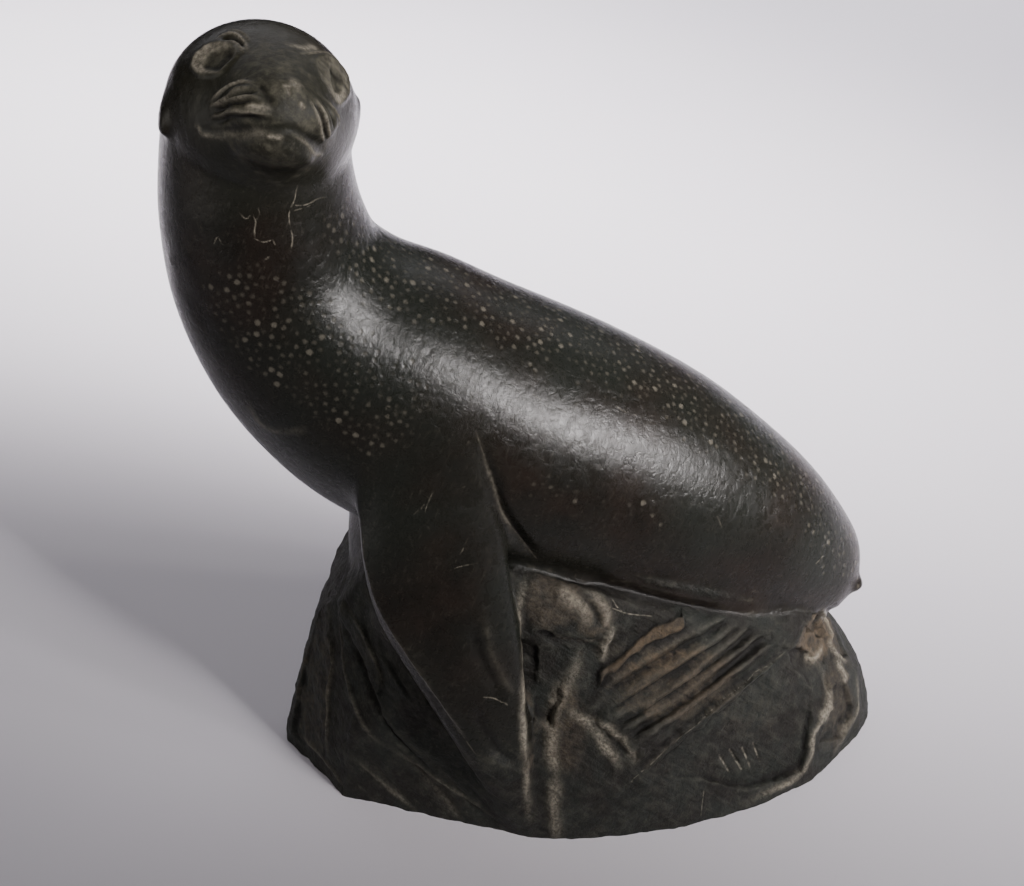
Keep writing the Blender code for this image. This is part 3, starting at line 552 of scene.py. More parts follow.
# The face's lines, in the head's directions: kind, half width, depth, paleness, path
FACE_WORK = {
    "mouth": ("groove", 0.75, 0.32, 0.0, (
        (-11.4, 6.6, -6.1), (-8.3, 9.5, -6.1), (-5.6, 13.7, -6.0), (-3.7, 16.2, -5.7), (-1.1, 18.5, -5.7),
        (1.8, 18.3, -5.6), (4.8, 15.0, -5.9), (7.9, 9.8, -6.3),
    )),
    "lower lip": ("rough", 0.8, 0.1, 0.35, (
        (-10.2, 7.3, -7.0), (-7.4, 10.9, -6.9), (-4.9, 15.4, -7.0), (-2.4, 17.5, -6.9), (0.4, 18.3, -6.8),
    )),
    "worn middle of the lip": ("rough", 0.55, 0.15, 1.0, (
        (-2.8, 17.5, -7.1), (-1.4, 17.9, -7.1), (0.0, 18.1, -7.0),
    )),
    "hollow under the lip": ("groove", 1.6, 0.12, 0.0, (
        (-8.0, 9.0, -8.0), (-4.9, 14.0, -8.5), (-1.5, 16.6, -8.6), (2.6, 16.2, -8.4), (5.6, 13.4, -8.2),
    )),
    "left corner of the mouth": ("crest", 0.45, 0.2, 0.7, (
        (-11.6, 6.5, -5.7), (-11.0, 7.3, -6.0), (-10.2, 7.4, -6.8), (-8.5, 9.4, -7.0),
    )),
    "right corner of the mouth": ("crest", 0.45, 0.18, 0.5, (
        (1.0, 18.5, -6.2), (3.3, 16.9, -6.7), (4.7, 16.0, -7.3), (6.2, 13.7, -7.7), (7.8, 10.2, -6.7),
    )),
    "left whiskers, first line": ("crest", 0.42, 0.52, 0.90, (
        (-10.3, 10.0, -2.3), (-9.4, 11.7, -1.0), (-8.1, 13.5, 0.0), (-6.8, 15.0, 0.6), (-5.4, 16.7, 0.5),
    )),
    "left whiskers, second line": ("crest", 0.4, 0.45, 0.60, (
        (-9.9, 11.0, -2.9), (-8.9, 14.4, -1.6), (-7.7, 15.8, -0.8), (-5.7, 17.3, -0.3),
    )),
    "left whiskers, first hollow": ("groove", 0.55, 0.98, 0.00, (
        (-9.4, 13.2, -2.2), (-8.4, 15.8, -1.7), (-6.8, 17.2, -1.2), (-4.6, 18.2, -1.1),
    )),
    "left whiskers, third line": ("crest", 0.45, 0.59, 0.98, (
        (-10.2, 9.9, -3.5), (-10.0, 10.6, -2.7), (-9.0, 14.3, -2.4), (-7.6, 17.1, -2.2), (-5.8, 18.3, -1.9),
        (-4.5, 18.8, -2.3),
    )),
    "left whiskers, second hollow": ("groove", 0.6, 0.98, 0.00, (
        (-9.8, 10.6, -3.9), (-8.6, 14.8, -3.2), (-7.4, 17.0, -3.0), (-5.6, 18.2, -2.6), (-3.8, 18.9, -2.8),
    )),
    "chips beside the nose": ("rough", 0.75, 0.5, 1.0, (
        (-6.9, 18.0, -3.5), (-5.4, 18.5, -3.3), (-3.9, 18.9, -3.4), (-2.2, 19.1, -3.9),
    )),
    "left whiskers, fourth line": ("crest", 0.42, 0.52, 0.75, (
        (-10.0, 9.5, -4.6), (-9.3, 11.5, -4.3), (-8.0, 15.9, -4.2), (-6.6, 17.4, -4.2), (-4.5, 18.6, -4.3),
        (-2.4, 18.9, -4.4),
    )),
    "left whiskers, third hollow": ("groove", 0.6, 0.65, 0.00, (
        (-9.6, 9.6, -5.3), (-7.6, 14.6, -5.0), (-5.0, 17.4, -5.0), (-2.0, 18.8, -5.0),
    )),
    "right whiskers, first line": ("crest", 0.42, 0.45, 0.75, (
        (2.8, 18.6, -0.4), (4.0, 18.8, -1.9), (5.2, 18.4, -3.7), (6.1, 17.2, -5.1), (6.9, 13.7, -5.7),
    )),
    "right whiskers, first hollow": ("groove", 0.4, 0.65, 0.00, (
        (3.6, 18.3, -0.6), (4.8, 18.4, -2.6), (5.9, 17.7, -4.4), (6.8, 15.0, -5.3),
    )),
    "right whiskers, second line": ("crest", 0.4, 0.45, 0.75, (
        (3.8, 17.9, 0.1), (5.2, 18.3, -2.0), (6.5, 17.3, -4.1), (7.5, 14.0, -5.0),
    )),
    "right whiskers, second hollow": ("groove", 0.4, 0.59, 0.00, (
        (4.8, 17.0, 0.2), (6.2, 17.3, -1.8), (7.4, 15.8, -3.6),
    )),
    "right whiskers, third line": ("crest", 0.4, 0.39, 0.52, (
        (5.4, 16.2, 0.4), (7.0, 15.9, -1.4), (8.4, 13.6, -3.2),
    )),
    "nose, left edge": ("groove", 0.7, 0.45, 0.0, (
        (-4.8, 17.2, 0.9), (-3.7, 18.5, -1.2), (-2.2, 19.2, -3.0),
    )),
    "nose, upright mark": ("groove", 0.35, 0.25, 0.6, (
        (-0.5, 19.3, 0.6), (-0.6, 19.3, -0.2), (-0.1, 19.3, -0.9),
    )),
    "nose, level mark": ("groove", 0.35, 0.25, 0.6, (
        (-1.7, 18.9, 0.4), (-0.5, 19.3, 0.6), (0.9, 19.2, 0.8),
    )),
    "nose, worn place": ("rough", 1.0, 0.15, 0.5, ((-1.2, 18.6, 1.4), (0.4, 18.9, 1.2), (1.4, 18.9, 0.2))),
    "nose, right edge": ("crest", 0.5, 0.3, 0.9, ((1.2, 19.2, -1.4), (1.8, 19.2, -1.9), (2.3, 19.1, -2.4))),
    "left brow, first ridge": ("crest", 0.4, 0.33, 1.00, (
        (-9.9, 5.6, 8.2), (-8.5, 5.8, 9.3), (-6.9, 7.2, 9.1), (-6.1, 10.1, 7.4), (-5.9, 11.8, 6.1),
    )),
    "left brow, hollow": ("groove", 0.4, 0.59, 0.00, (
        (-9.4, 6.6, 8.1), (-8.2, 7.2, 8.5), (-6.9, 8.6, 8.2), (-6.3, 10.6, 7.0),
    )),
    "left brow, second ridge": ("crest", 0.4, 0.39, 0.60, (
        (-8.6, 7.5, 7.9), (-7.5, 8.7, 7.8), (-6.7, 10.1, 6.8), (-6.3, 11.5, 5.5),
    )),
    "left brow, third ridge": ("crest", 0.4, 0.33, 0.45, (
        (-8.5, 5.7, 9.9), (-7.5, 5.9, 10.1), (-6.1, 7.7, 9.4), (-5.4, 10.0, 8.0),
    )),
    "right brow, ridge": ("crest", 0.35, 0.26, 0.68, (
        (1.9, 12.6, 7.4), (4.2, 10.4, 8.2), (6.1, 8.0, 9.1), (9.1, 4.9, 9.5), (11.6, 3.4, 8.4),
    )),
    "right brow, chips": ("rough", 0.9, 0.25, 1.0, (
        (-0.4, 11.4, 8.6), (2.1, 10.8, 8.7), (3.7, 10.0, 8.8), (5.8, 7.3, 10.2),
    )),
}

# Eyes, in the head's directions: rim, hollow middle, where the ring between them is palest, how far that
# reaches, how pale it is there, and what share of that the rest of the ring has
EYES = {
    "left eye": (
        (
            (-13.0, 5.4, 3.6), (-12.7, 4.9, 5.0), (-11.9, 4.9, 6.6), (-10.4, 6.0, 7.6), (-8.9, 7.4, 7.8),
            (-7.8, 9.0, 7.3), (-6.9, 9.9, 6.3), (-7.1, 10.9, 5.0), (-7.9, 11.0, 3.8), (-9.3, 11.2, 2.6),
            (-10.7, 9.6, 2.0), (-12.1, 7.6, 2.0), (-12.8, 6.1, 2.7),
        ),
        (
            (-11.6, 7.0, 4.1), (-11.0, 7.1, 5.6), (-9.8, 7.7, 6.4), (-8.5, 8.7, 6.6), (-7.7, 9.9, 5.7),
            (-8.0, 10.6, 4.4), (-9.5, 10.2, 3.0), (-11.1, 7.8, 2.9),
        ),
        (-12.2, 5.2, 5.0), 9.0, 1.0, 0.3,
    ),
    "right eye": (
        (
            (4.3, 12.4, 6.3), (6.1, 8.3, 8.6), (9.1, 5.3, 8.9), (11.5, 3.9, 8.0), (12.0, 5.5, 5.6),
            (11.5, 7.5, 3.5), (9.8, 10.8, 1.3), (8.1, 12.9, 1.1), (6.0, 14.7, 2.2), (4.7, 14.4, 3.9),
        ),
        (
            (7.7, 8.9, 6.9), (8.8, 8.2, 6.9), (9.8, 7.6, 5.8), (10.0, 9.2, 4.0), (9.4, 9.9, 2.9),
            (8.2, 11.9, 3.0), (7.6, 11.4, 4.6),
        ),
        (9.6, 11.0, 1.6), 5.0, 1.0, 0.12,
    ),
}
# The lid's edge: half width and height. The hollow middle: depth, over what width it goes down, and the share
# it has reached at its outline. The ring: height, how much its outline is drawn in, how wide its edges are,
# and its share at the rim and at the hollow. Then how far around the rim the skin is worked, and how uneven
# the outlines are.
EYE_LID_WIDTH = 0.45
EYE_LID_HEIGHT = 0.35
EYE_PIT = 0.55
EYE_PIT_RUN = 1.1
EYE_PIT_START = 0.35
EYE_RING_RISE = 0.2
EYE_RING_SHRINK = 0.96
EYE_RING_EDGE = 0.5
EYE_RING_OUTER = 0.2
EYE_RING_INNER = 0.3
EYE_MARGIN = 2.0
EYE_UNEVENNESS = 0.25
# The crust on the eyes: share, size and seed of each pattern, and then how much there is without it and how
# much with it on the lid, on the ring and in the paleness
CRUST = ((1.0, 1.0, 5), (0.6, 0.5, 6))
LID_CRUST = (0.8, 0.25)
RING_CRUST = (0.5, 0.6)
PALE_CRUST = (0.85, 0.3)
# The muzzle is matt: its middle, in the head's directions, and how far that reaches
MUZZLE = (0.0, 15.0, -2.0)
MUZZLE_REACH = 19.0

# Lines run out over a share of their length, and are felt over so many half widths. Their edges wander by the
# unevenness, in bumps of its size.
END_SHARE = 0.22
SHORT_END_SHARE = 0.08
LINE_REACH = 2.6
LINE_UNEVENNESS = 0.12
ROUGH_UNEVENNESS = 0.45
UNEVEN_SIZE = 2.4

# How a line is broken: the level, the share, size and seed of each pattern on it, and the most it may be.
# The rubble of a rough line is made the same way. Then how steeply a rough line falls off, how sharply a
# crest does, and how wide the edge of a step is.
BREAKS_LEVEL = 0.65
BREAKS = ((0.4, 1.6, 11), (0.55, 5.0, 12))
BREAKS_MOST = 1.3
RUBBLE_LEVEL = 0.75
RUBBLE = ((0.35, 1.1, 13),)
ROUGH_STEEPNESS = 0.8
CREST_SHARPNESS = 1.3
STEP_EDGE = 0.25
# The pale mark along a line: half width on a step, share of the half width on any other, and how much more of
# it there is than of the line's height
STEP_MARK = 0.35
MARK_SHARE = 0.75
MARK_EXCESS = 0.2

# Fine lines: how far from one a face still carries its mark, how much paler the middle is than the ends, how
# far each short part is drawn past its own ends, to meet the next, and a way too long to show
LINE_MARGIN = 1.6
LINE_TAPER = 0.35
LINE_OVERLAP = 0.8
NO_LINE = 9.0

# The seal's triangles are evened out after they are made fewer, where the skin is less hollow than the level
EVEN_PASSES = 4
EVEN_SHARE = 0.5
EVEN_LEVEL = 0.06

# Hollows are where the skin lies under its own evened-out form, and count in full at the depth
HOLLOW_SOFTNESS = 0.6
HOLLOW_PASSES = 14
HOLLOW_DEPTH = 0.25

# Drilled dots fill rounded bands: start, end, half width, share of the places taken. They are made on both
# sides, fewer on the far one. The back carries dots along its top, out to a given distance from the middle.
DOT_BANDS = (
    ((-58.0, -17.0, 106.0), (-39.0, -22.0, 90.0), 9.5, 0.95),
    ((-43.0, -8.0, 121.0), (-37.0, -8.0, 108.0), 8.0, 0.9),
    ((-18.8, -24.8, 75.1), (17.4, -21.6, 61.7), 3.0, 0.3),
)
FAR_SIDE_SHARE = 0.6
BACK_DOTS = 0.9
BACK_REACH = 15.5
BACK_START = -44.0
# Dots thin out over these distances: behind the back's start, before its reach and before a band's edge
BACK_RUN_IN = 5.0
BACK_RUN_OUT = 4.0
BAND_RUN_OUT = 2.0
# Where dots are left out: on the back where it faces up less than this, on rock, and near the head's middle
BACK_LEAST_SLOPE = 0.1
DOT_MOST_ROCK = 0.3
DOT_HEAD_GAP = 19.0
# Least distance between two dots, radius, how much wider a strong dot is, and softness of the edge
DOT_SPACING = 1.35
DOT_RADIUS = 0.24
DOT_GROWTH = 0.16
DOT_EDGE = 0.17
DOT_MARKS = ("first dot", "second dot")
# Places tried, the least chance one needs, and the strengths: the weakest, what the rest can add and how
# seldom it does, and the few that are brighter than all others
DOT_TRIES = 60000
DOT_LEAST_CHANCE = 0.02
DOT_WEAKEST = 0.25
DOT_ADDED = 0.75
DOT_SELDOM = 1.5
BRIGHT_SHARE = 0.06
BRIGHT_STRENGTH = 1.5

# The directions of the long tool marks on the rock's front and of the rubbing on the seal
TOOL_ALONG = np.array((0.78, 0.0, -0.63))
RUB_ALONG = np.array((-0.45, -0.3, -0.84))

# Dusty broken places: middle, reach, amount of dust, how warm it is
DUSTY = (
    ((-9.5, -25.0, 48.5), (8.5, 8.0, 8.5), 1.0, 0.15),
    ((-2.0, -27.0, 45.0), (6.0, 6.0, 7.0), 0.7, 0.2),
    ((-8.0, -32.0, 24.0), (7.0, 8.0, 20.0), 0.7, 0.3),
    ((-15.0, -33.0, 28.0), (3.5, 8.0, 24.0), 0.9, 0.25),
    ((10.0, -27.0, 37.0), (17.0, 8.0, 8.0), 0.38, 1.0),
    ((14.0, -29.0, 30.0), (22.0, 9.0, 13.0), 0.75, 0.35),
    ((46.0, -12.0, 27.0), (12.0, 13.0, 11.0), 1.0, 0.9),
    ((48.0, -16.0, 10.0), (10.0, 12.0, 16.0), 0.6, 0.2),
    ((30.0, -26.0, 20.0), (16.0, 9.0, 12.0), 0.4, 0.1),
    ((-55.0, -8.0, 18.0), (10.0, 13.0, 24.0), 0.5, 0.5),
    ((-20.0, -34.0, 28.0), (7.0, 6.0, 12.0), 0.4, 0.1),
)
ROCK_DUST = 0.2

# The rock's surface runs up onto the flippers' ends: nearer the front than a given Y up to the first level,
# and behind it up to the second, each fading out over the given height
ROCK_FRONT = -27.0
ROCK_LEVELS = (18.0, 33.0)
ROCK_FADE = 8.0

# Where the rock was cut clean and keeps little of the rough texture: middle, reach
CLEAN = ((15.0, -28.0, 31.0), (22.0, 9.0, 11.0))
CLEAN_SHARE = 0.3
# How firmly the dusty and the clean zones fill their reach
ZONE_FIRMNESS = 2.0

# The rock's texture: share, size and seed of the scoops left by the chisel, drawn out along the tool marks,
# of those where the stone broke, and of the bumps on both, with the level that is taken off the scoops. The
# rubbed seal has only faint bumps. Points with less rock than the least have no such texture.
CHISELLED = ((0.5, (19.0, 4.6, 19.0), 31), (0.2, (8.0, 1.7, 8.0), 37))
CHISELLED_LEVEL = 0.25
BROKEN = ((0.55, (3.6, 3.6, 3.6), 57), (0.25, (1.7, 1.7, 1.7), 77))
BROKEN_LEVEL = 0.3
BUMPS = ((0.25, 5.0, 3), (0.16, 2.1, 4), (0.1, 1.1, 9))
SEAL_BUMPS = (0.06, 9.0, 8)
LEAST_ROCK = 0.02

# Large odd numbers that mix the bits of a whole-numbered place and a seed, how many values come of it, and
# the bits that are kept on the way
MIXERS = (73856093, 19349663, 83492791, 2654435761, 1274126177)
LATTICE_STEPS = 65536
LOW_BITS = 0x7FFFFFFF
# A gap larger than any on the figure, and the least length that is divided by, in metres
FAR = 1e9
TINY = 1e-9


def smooth_rows(rows, per_span):
    """Rows read through a smooth curve that meets them all, per_span steps between each two."""
    rows = np.asarray(rows, float)
    padded = np.vstack([2 * rows[0] - rows[1], rows, 2 * rows[-1] - rows[-2]])
    out = []
    for i in range(1, len(padded) - 2):
        a, b, c, d = padded[i - 1 : i + 3]
        for t in np.arange(per_span) / per_span:
            bend = 2 * a - 5 * b + 4 * c - d
            turn = 3 * b - a - 3 * c + d
            out.append(0.5 * (2 * b + (c - a) * t + bend * t**2 + turn * t**3))
    out.append(rows[-1])
    return np.array(out)


def new_object(name, mesh_data):
    mesh = bpy.data.meshes.new(name)
    mesh_data.to_mesh(mesh)
    mesh_data.free()
    thing = bpy.data.objects.new(name, mesh)
    bpy.context.scene.collection.objects.link(thing)
    return thing


def loft(name, rings):
    """A closed body through rings of equal count, capped at both ends."""
    work = bmesh.new()
    loops = [[work.verts.new(point) for point in ring] for ring in rings]
    count = len(loops[0])
    for low, high in zip(loops, loops[1:]):
        for i in range(count):
            j = (i + 1) % count
            work.faces.new((low[i], low[j], high[j], high[i]))
    work.faces.new(list(reversed(loops[0])))
    work.faces.new(loops[-1])
    bmesh.ops.recalc_face_normals(work, faces=work.faces)
    return new_object(name, work)


def ring(middle, across, up, half_width, half_height, sides, power=2.0):
    """One closed section, an ellipse for power 2 and squarer above it."""
    points = []
    for i in range(sides):
        turn = 2 * math.pi * i / sides
        c, s = math.cos(turn), math.sin(turn)
        u = math.copysign(abs(c) ** (2 / power), c) * half_width
        v = math.copysign(abs(s) ** (2 / power), s) * half_height
        points.append(middle + across * u + up * v)
    return points


def body():
    """Trunk and neck, swept along a spine that lies in the XZ plane."""
    rows = smooth_rows(BODY, SECTION_STEPS) * MM
    spine = [Vector((row[0], 0.0, row[1])) for row in rows]
    rings = []
    for i, row in enumerate(rows):
        along = (spine[min(i + 1, len(spine) - 1)] - spine[max(i - 1, 0)]).normalized()
        across = Vector((0.0, 1.0, 0.0))
        rings.append(ring(spine[i], across, along.cross(across), row[3], row[2], BROAD_SIDES))
    return loft("body", rings)


def head_axes():
    """The face's right, forward and up directions as the viewer meets it."""
    forward = Vector((
        math.sin(HEAD_TURN) * math.cos(HEAD_TILT),
        -math.cos(HEAD_TURN) * math.cos(HEAD_TILT),
        math.sin(HEAD_TILT),
    ))
    level = Vector((math.cos(HEAD_TURN), math.sin(HEAD_TURN), 0.0))
    upright = forward.cross(level)
    right = level * math.cos(HEAD_ROLL) - upright * math.sin(HEAD_ROLL)
    return right, forward, forward.cross(right)


def on_head(right, forward, up):
    """A place given in the head's own directions, in metres."""
    axes = head_axes()
    place = Vector(HEAD_PLACE) + axes[0] * right + axes[1] * forward + axes[2] * up
    return place * MM


def head():
    right, _, up = head_axes()
    rings = []
    for along, lift, half_width, half_height in smooth_rows(HEAD, SECTION_STEPS):
        middle = on_head(0.0, along, lift)
        rings.append(ring(middle, right, up, half_width * MM, half_height * MM, BROAD_SIDES))
    return loft("head", rings)


def blade(name, stations, facing, ribs=0):
    """A flipper: flat sections along a curved path, the flat side turned to facing, fanned into ribs."""
    rows = smooth_rows(stations, SECTION_STEPS) * MM
    path = [Vector(row[:3]) for row in rows]
    sides = RIB_SIDES * ribs if ribs else FLIPPER_SIDES
    power = RIBBED_SQUARENESS if ribs else PLAIN_SQUARENESS
    rings = []
    for i, row in enumerate(rows):
        along = (path[min(i + 1, len(path) - 1)] - path[max(i - 1, 0)]).normalized()
        across = along.cross(Vector(facing)).normalized()
        outward = across.cross(along)
        if outward.dot(Vector(facing)) < 0.0:
            outward.negate()
        section = ring(path[i], across, outward, row[3], row[4], sides, power)
        if ribs:
            open_out = min(1.0, i / RIBS_OPEN_OVER)
            for k, point in enumerate(section):
                share = (point - path[i]).dot(across) / row[3]
                if (point - path[i]).dot(outward) > 0.0 and abs(share) < 1.0:
                    groove = 1.0 - abs(math.sin(math.pi * ribs * (share + 1.0) / 2.0)) ** RIB_ROUNDNESS
                    section[k] = point - outward * RIB_DEPTH * MM * groove * open_out
        rings.append(section)
    return loft(name, rings)


def ellipsoid(name, middle, axes, radii):
    """A rounded mass along three directions."""
    work = bmesh.new()
    bmesh.ops.create_icosphere(work, subdivisions=5, radius=1.0)
    for vert in work.verts:
        share = vert.co.copy()
        vert.co = middle + sum((axes[k] * share[k] * radii[k] * MM for k in range(3)), Vector())
    bmesh.ops.recalc_face_normals(work, faces=work.faces)
    return new_object(name, work)


def face_masses():
    axes = head_axes()
    pieces = []
    for name, (place, radii) in FACE_MASSES.items():
        for side in (-1.0, 1.0) if place[0] else (1.0,):
            middle = on_head(side * place[0], place[1], place[2])
            pieces.append(ellipsoid(name, middle, axes, radii))
    for name, (place, radii) in EARS.items():
        pieces.append(ellipsoid(name, on_head(*place), axes, radii))
    return pieces


def body_lumps():
    axes = (Vector((1, 0, 0)), Vector((0, 1, 0)), Vector((0, 0, 1)))
    pieces = []
    for name, (place, radii) in BODY_LUMPS.items():
        pieces.append(ellipsoid(name, Vector(place) * MM, axes, radii))
    return pieces


def rock():
    """An oval mound, then flattened by the chisel cuts."""
    rings = []
    for level, left, right, front, back in smooth_rows(ROCK, ROCK_STEPS) * MM:
        points = []
        for i in range(BROAD_SIDES):
            turn = 2 * math.pi * i / BROAD_SIDES
            c, s = math.cos(turn), math.sin(turn)
            points.append(Vector((c * (right if c > 0 else left), s * (back if s > 0 else front), level)))
        rings.append(points)
    thing = loft("rock", rings)
    work = bmesh.new()
    work.from_mesh(thing.data)
    for azimuth, rise, reach in CUTS:
        side, lift = math.radians(azimuth), math.radians(rise)
        outward = Vector((
            -math.sin(side) * math.cos(lift),
            -math.cos(side) * math.cos(lift),
            math.sin(lift),
        ))
        cut_away(work, outward * reach * MM, outward)
    work.to_mesh(thing.data)
    work.free()
    return thing


def cut_away(work, place, outward):
    """Everything beyond a plane removed and the cut closed."""
    everything = list(work.verts) + list(work.edges) + list(work.faces)
    cut = bmesh.ops.bisect_plane(work, geom=everything, plane_co=place, plane_no=outward, clear_outer=True)
    rim = [part for part in cut["geom_cut"] if isinstance(part, bmesh.types.BMEdge)]
    bmesh.ops.holes_fill(work, edges=rim)


def join(pieces, name):
    """All bodies in one mesh, still separate until they are remeshed."""
    work = bmesh.new()
    for piece in pieces:
        work.from_mesh(piece.data)
    return new_object(name, work)


def apply_modifiers(thing):
    """The object's modifiers made real."""
    graph = bpy.context.evaluated_depsgraph_get()
    mesh = bpy.data.meshes.new_from_object(thing.evaluated_get(graph))
    thing.modifiers.clear()
    thing.data = mesh


def read_points(mesh):
    """A mesh's points, in metres."""
    points = np.empty(len(mesh.vertices) * 3, np.float32)
    mesh.vertices.foreach_get("co", points)
    return points.reshape(-1, 3)


def read_skin(mesh):
    """A mesh's points and their normals, and the two ends of each edge."""
    normals = np.empty(len(mesh.vertices) * 3, np.float32)
    mesh.vertex_normals.foreach_get("vector", normals)
    edges = np.empty(len(mesh.edges) * 2, np.int32)
    mesh.edges.foreach_get("vertices", edges)
    return read_points(mesh).astype(float), normals.reshape(-1, 3).astype(float), edges.reshape(-1, 2)


def write_skin(mesh, points):
    mesh.vertices.foreach_set("co", points.astype(np.float32).ravel())
    mesh.update()


def write_mark(mesh, name, values):
    """One number per point, for the material to read."""
    layer = mesh.attributes.get(name) or mesh.attributes.new(name, "FLOAT", "POINT")
    layer.data.foreach_set("value", np.asarray(values, np.float32))


def relax(points, edges, weight, passes):
    """Each point with a weight drawn towards the mean of its neighbours."""
    active = weight[edges].max(1) > 0.0
    edges = edges[active]
    used, local = np.unique(edges, return_inverse=True)
    local = local.reshape(-1, 2)
    some = points[used]
    strength = weight[used][:, None]
    count = len(used)
    ends = np.concatenate([local[:, 0], local[:, 1]])
    others = np.concatenate([local[:, 1], local[:, 0]])
    valence = np.bincount(ends, minlength=count)[:, None]
    for _ in range(int(passes)):
        sums = np.stack([np.bincount(ends, some[others, k], count) for k in range(3)], 1)
        some = some + (sums / valence - some) * strength
    points = points.copy()
    points[used] = some
    return points


def smooth_loop(corners):
    """A closed outline read through a smooth curve."""
    corners = np.asarray(corners, float)
    around = smooth_rows(np.vstack([corners[-2:], corners, corners[:3]]), PATH_STEPS)
    return around[2 * PATH_STEPS : (2 + len(corners)) * PATH_STEPS]


def share_along(places, start, step):
    """How far along a straight piece each place lies, from 0 at its start to 1 at its end."""
    return np.clip((places - start) @ step / max(step @ step, TINY**2), 0.0, 1.0)


def signed_gap(places, outline):
    """How far inside a flat outline each place lies; outside it is below 0."""
    inside = np.zeros(len(places), bool)
    gap = np.full(len(places), FAR)
    for start, end in zip(outline, np.roll(outline, -1, axis=0)):
        step = end - start
        off = places - start
        share = share_along(places, start, step)
        gap = np.minimum(gap, np.linalg.norm(off - share[:, None] * step, axis=1))
        if step[1]:
            crosses = (start[1] > places[:, 1]) != (end[1] > places[:, 1])
            inside ^= crosses & (off[:, 0] < step[0] * off[:, 1] / step[1])
    return np.where(inside, gap, -gap)


def eased(share):
    """A share from 0 to 1 made level at both ends."""
    return share * share * (3.0 - 2.0 * share)


def fade(distance, reach):
    """1 at the middle, 0 at the reach, level at both."""
    return eased(np.clip(1.0 - distance / reach, 0.0, 1.0))


def within(points, middle, reach):
    """1 inside a rounded zone, run out to 0 at its reach along X, Y and Z."""
    share = (points / MM - np.array(middle)) / np.array(reach)
    return np.clip(ZONE_FIRMNESS * fade(np.sqrt((share * share).sum(1)), 1.0), 0.0, 1.0)


def lattice(corner, seed):
    """A number from 0 to 1 for each whole-numbered place."""
    mixed = seed * MIXERS[3]
    for k in range(3):
        mixed = mixed ^ corner[:, k] * MIXERS[k]
    mixed = (mixed ^ (mixed >> 13)) * MIXERS[4] & LOW_BITS
    return (mixed ^ (mixed >> 16)) % LATTICE_STEPS / (LATTICE_STEPS - 1.0)


def noise(points, size, seed=0):
    """Soft noise from -1 to 1 with bumps of about the given size, in millimetres."""
    place = points / (size * MM)
    corner = np.floor(place).astype(np.int64)
    share = eased(place - corner)
    total = np.zeros(len(points))
    for k in range(8):
        step = np.array([k & 1, k >> 1 & 1, k >> 2 & 1])
        weight = np.prod(np.where(step, share, 1.0 - share), axis=1)
        total += weight * lattice(corner + step, seed)
    return 2.0 * total - 1.0


def scoops(points, sizes, seed=0):
    """Shallow scoops with sharp edges between them, 0 in their middles, of three sizes in millimetres."""
    place = points / (np.array(sizes) * MM)
    corner = np.floor(place).astype(np.int64)
    best = np.full(len(points), FAR)
    for offset in itertools.product((-1, 0, 1), repeat=3):
        cell = corner + offset
        jitter = np.stack([lattice(cell, seed + k) for k in range(3)], 1)
        away = place - cell - jitter
        best = np.minimum(best, (away * away).sum(1))
    return best


def layered(pattern, points, rows, start=0.0):
    """Layers of a pattern on top of a start, each with its share, size and seed."""
    return sum((share * pattern(points, size, seed) for share, size, seed in rows), start)


def search_tree(points):
    """A tree that finds the nearest of some points."""
    tree = KDTree(len(points))
    for i, point in enumerate(points):
        tree.insert(point, i)
    tree.balance()
    return tree


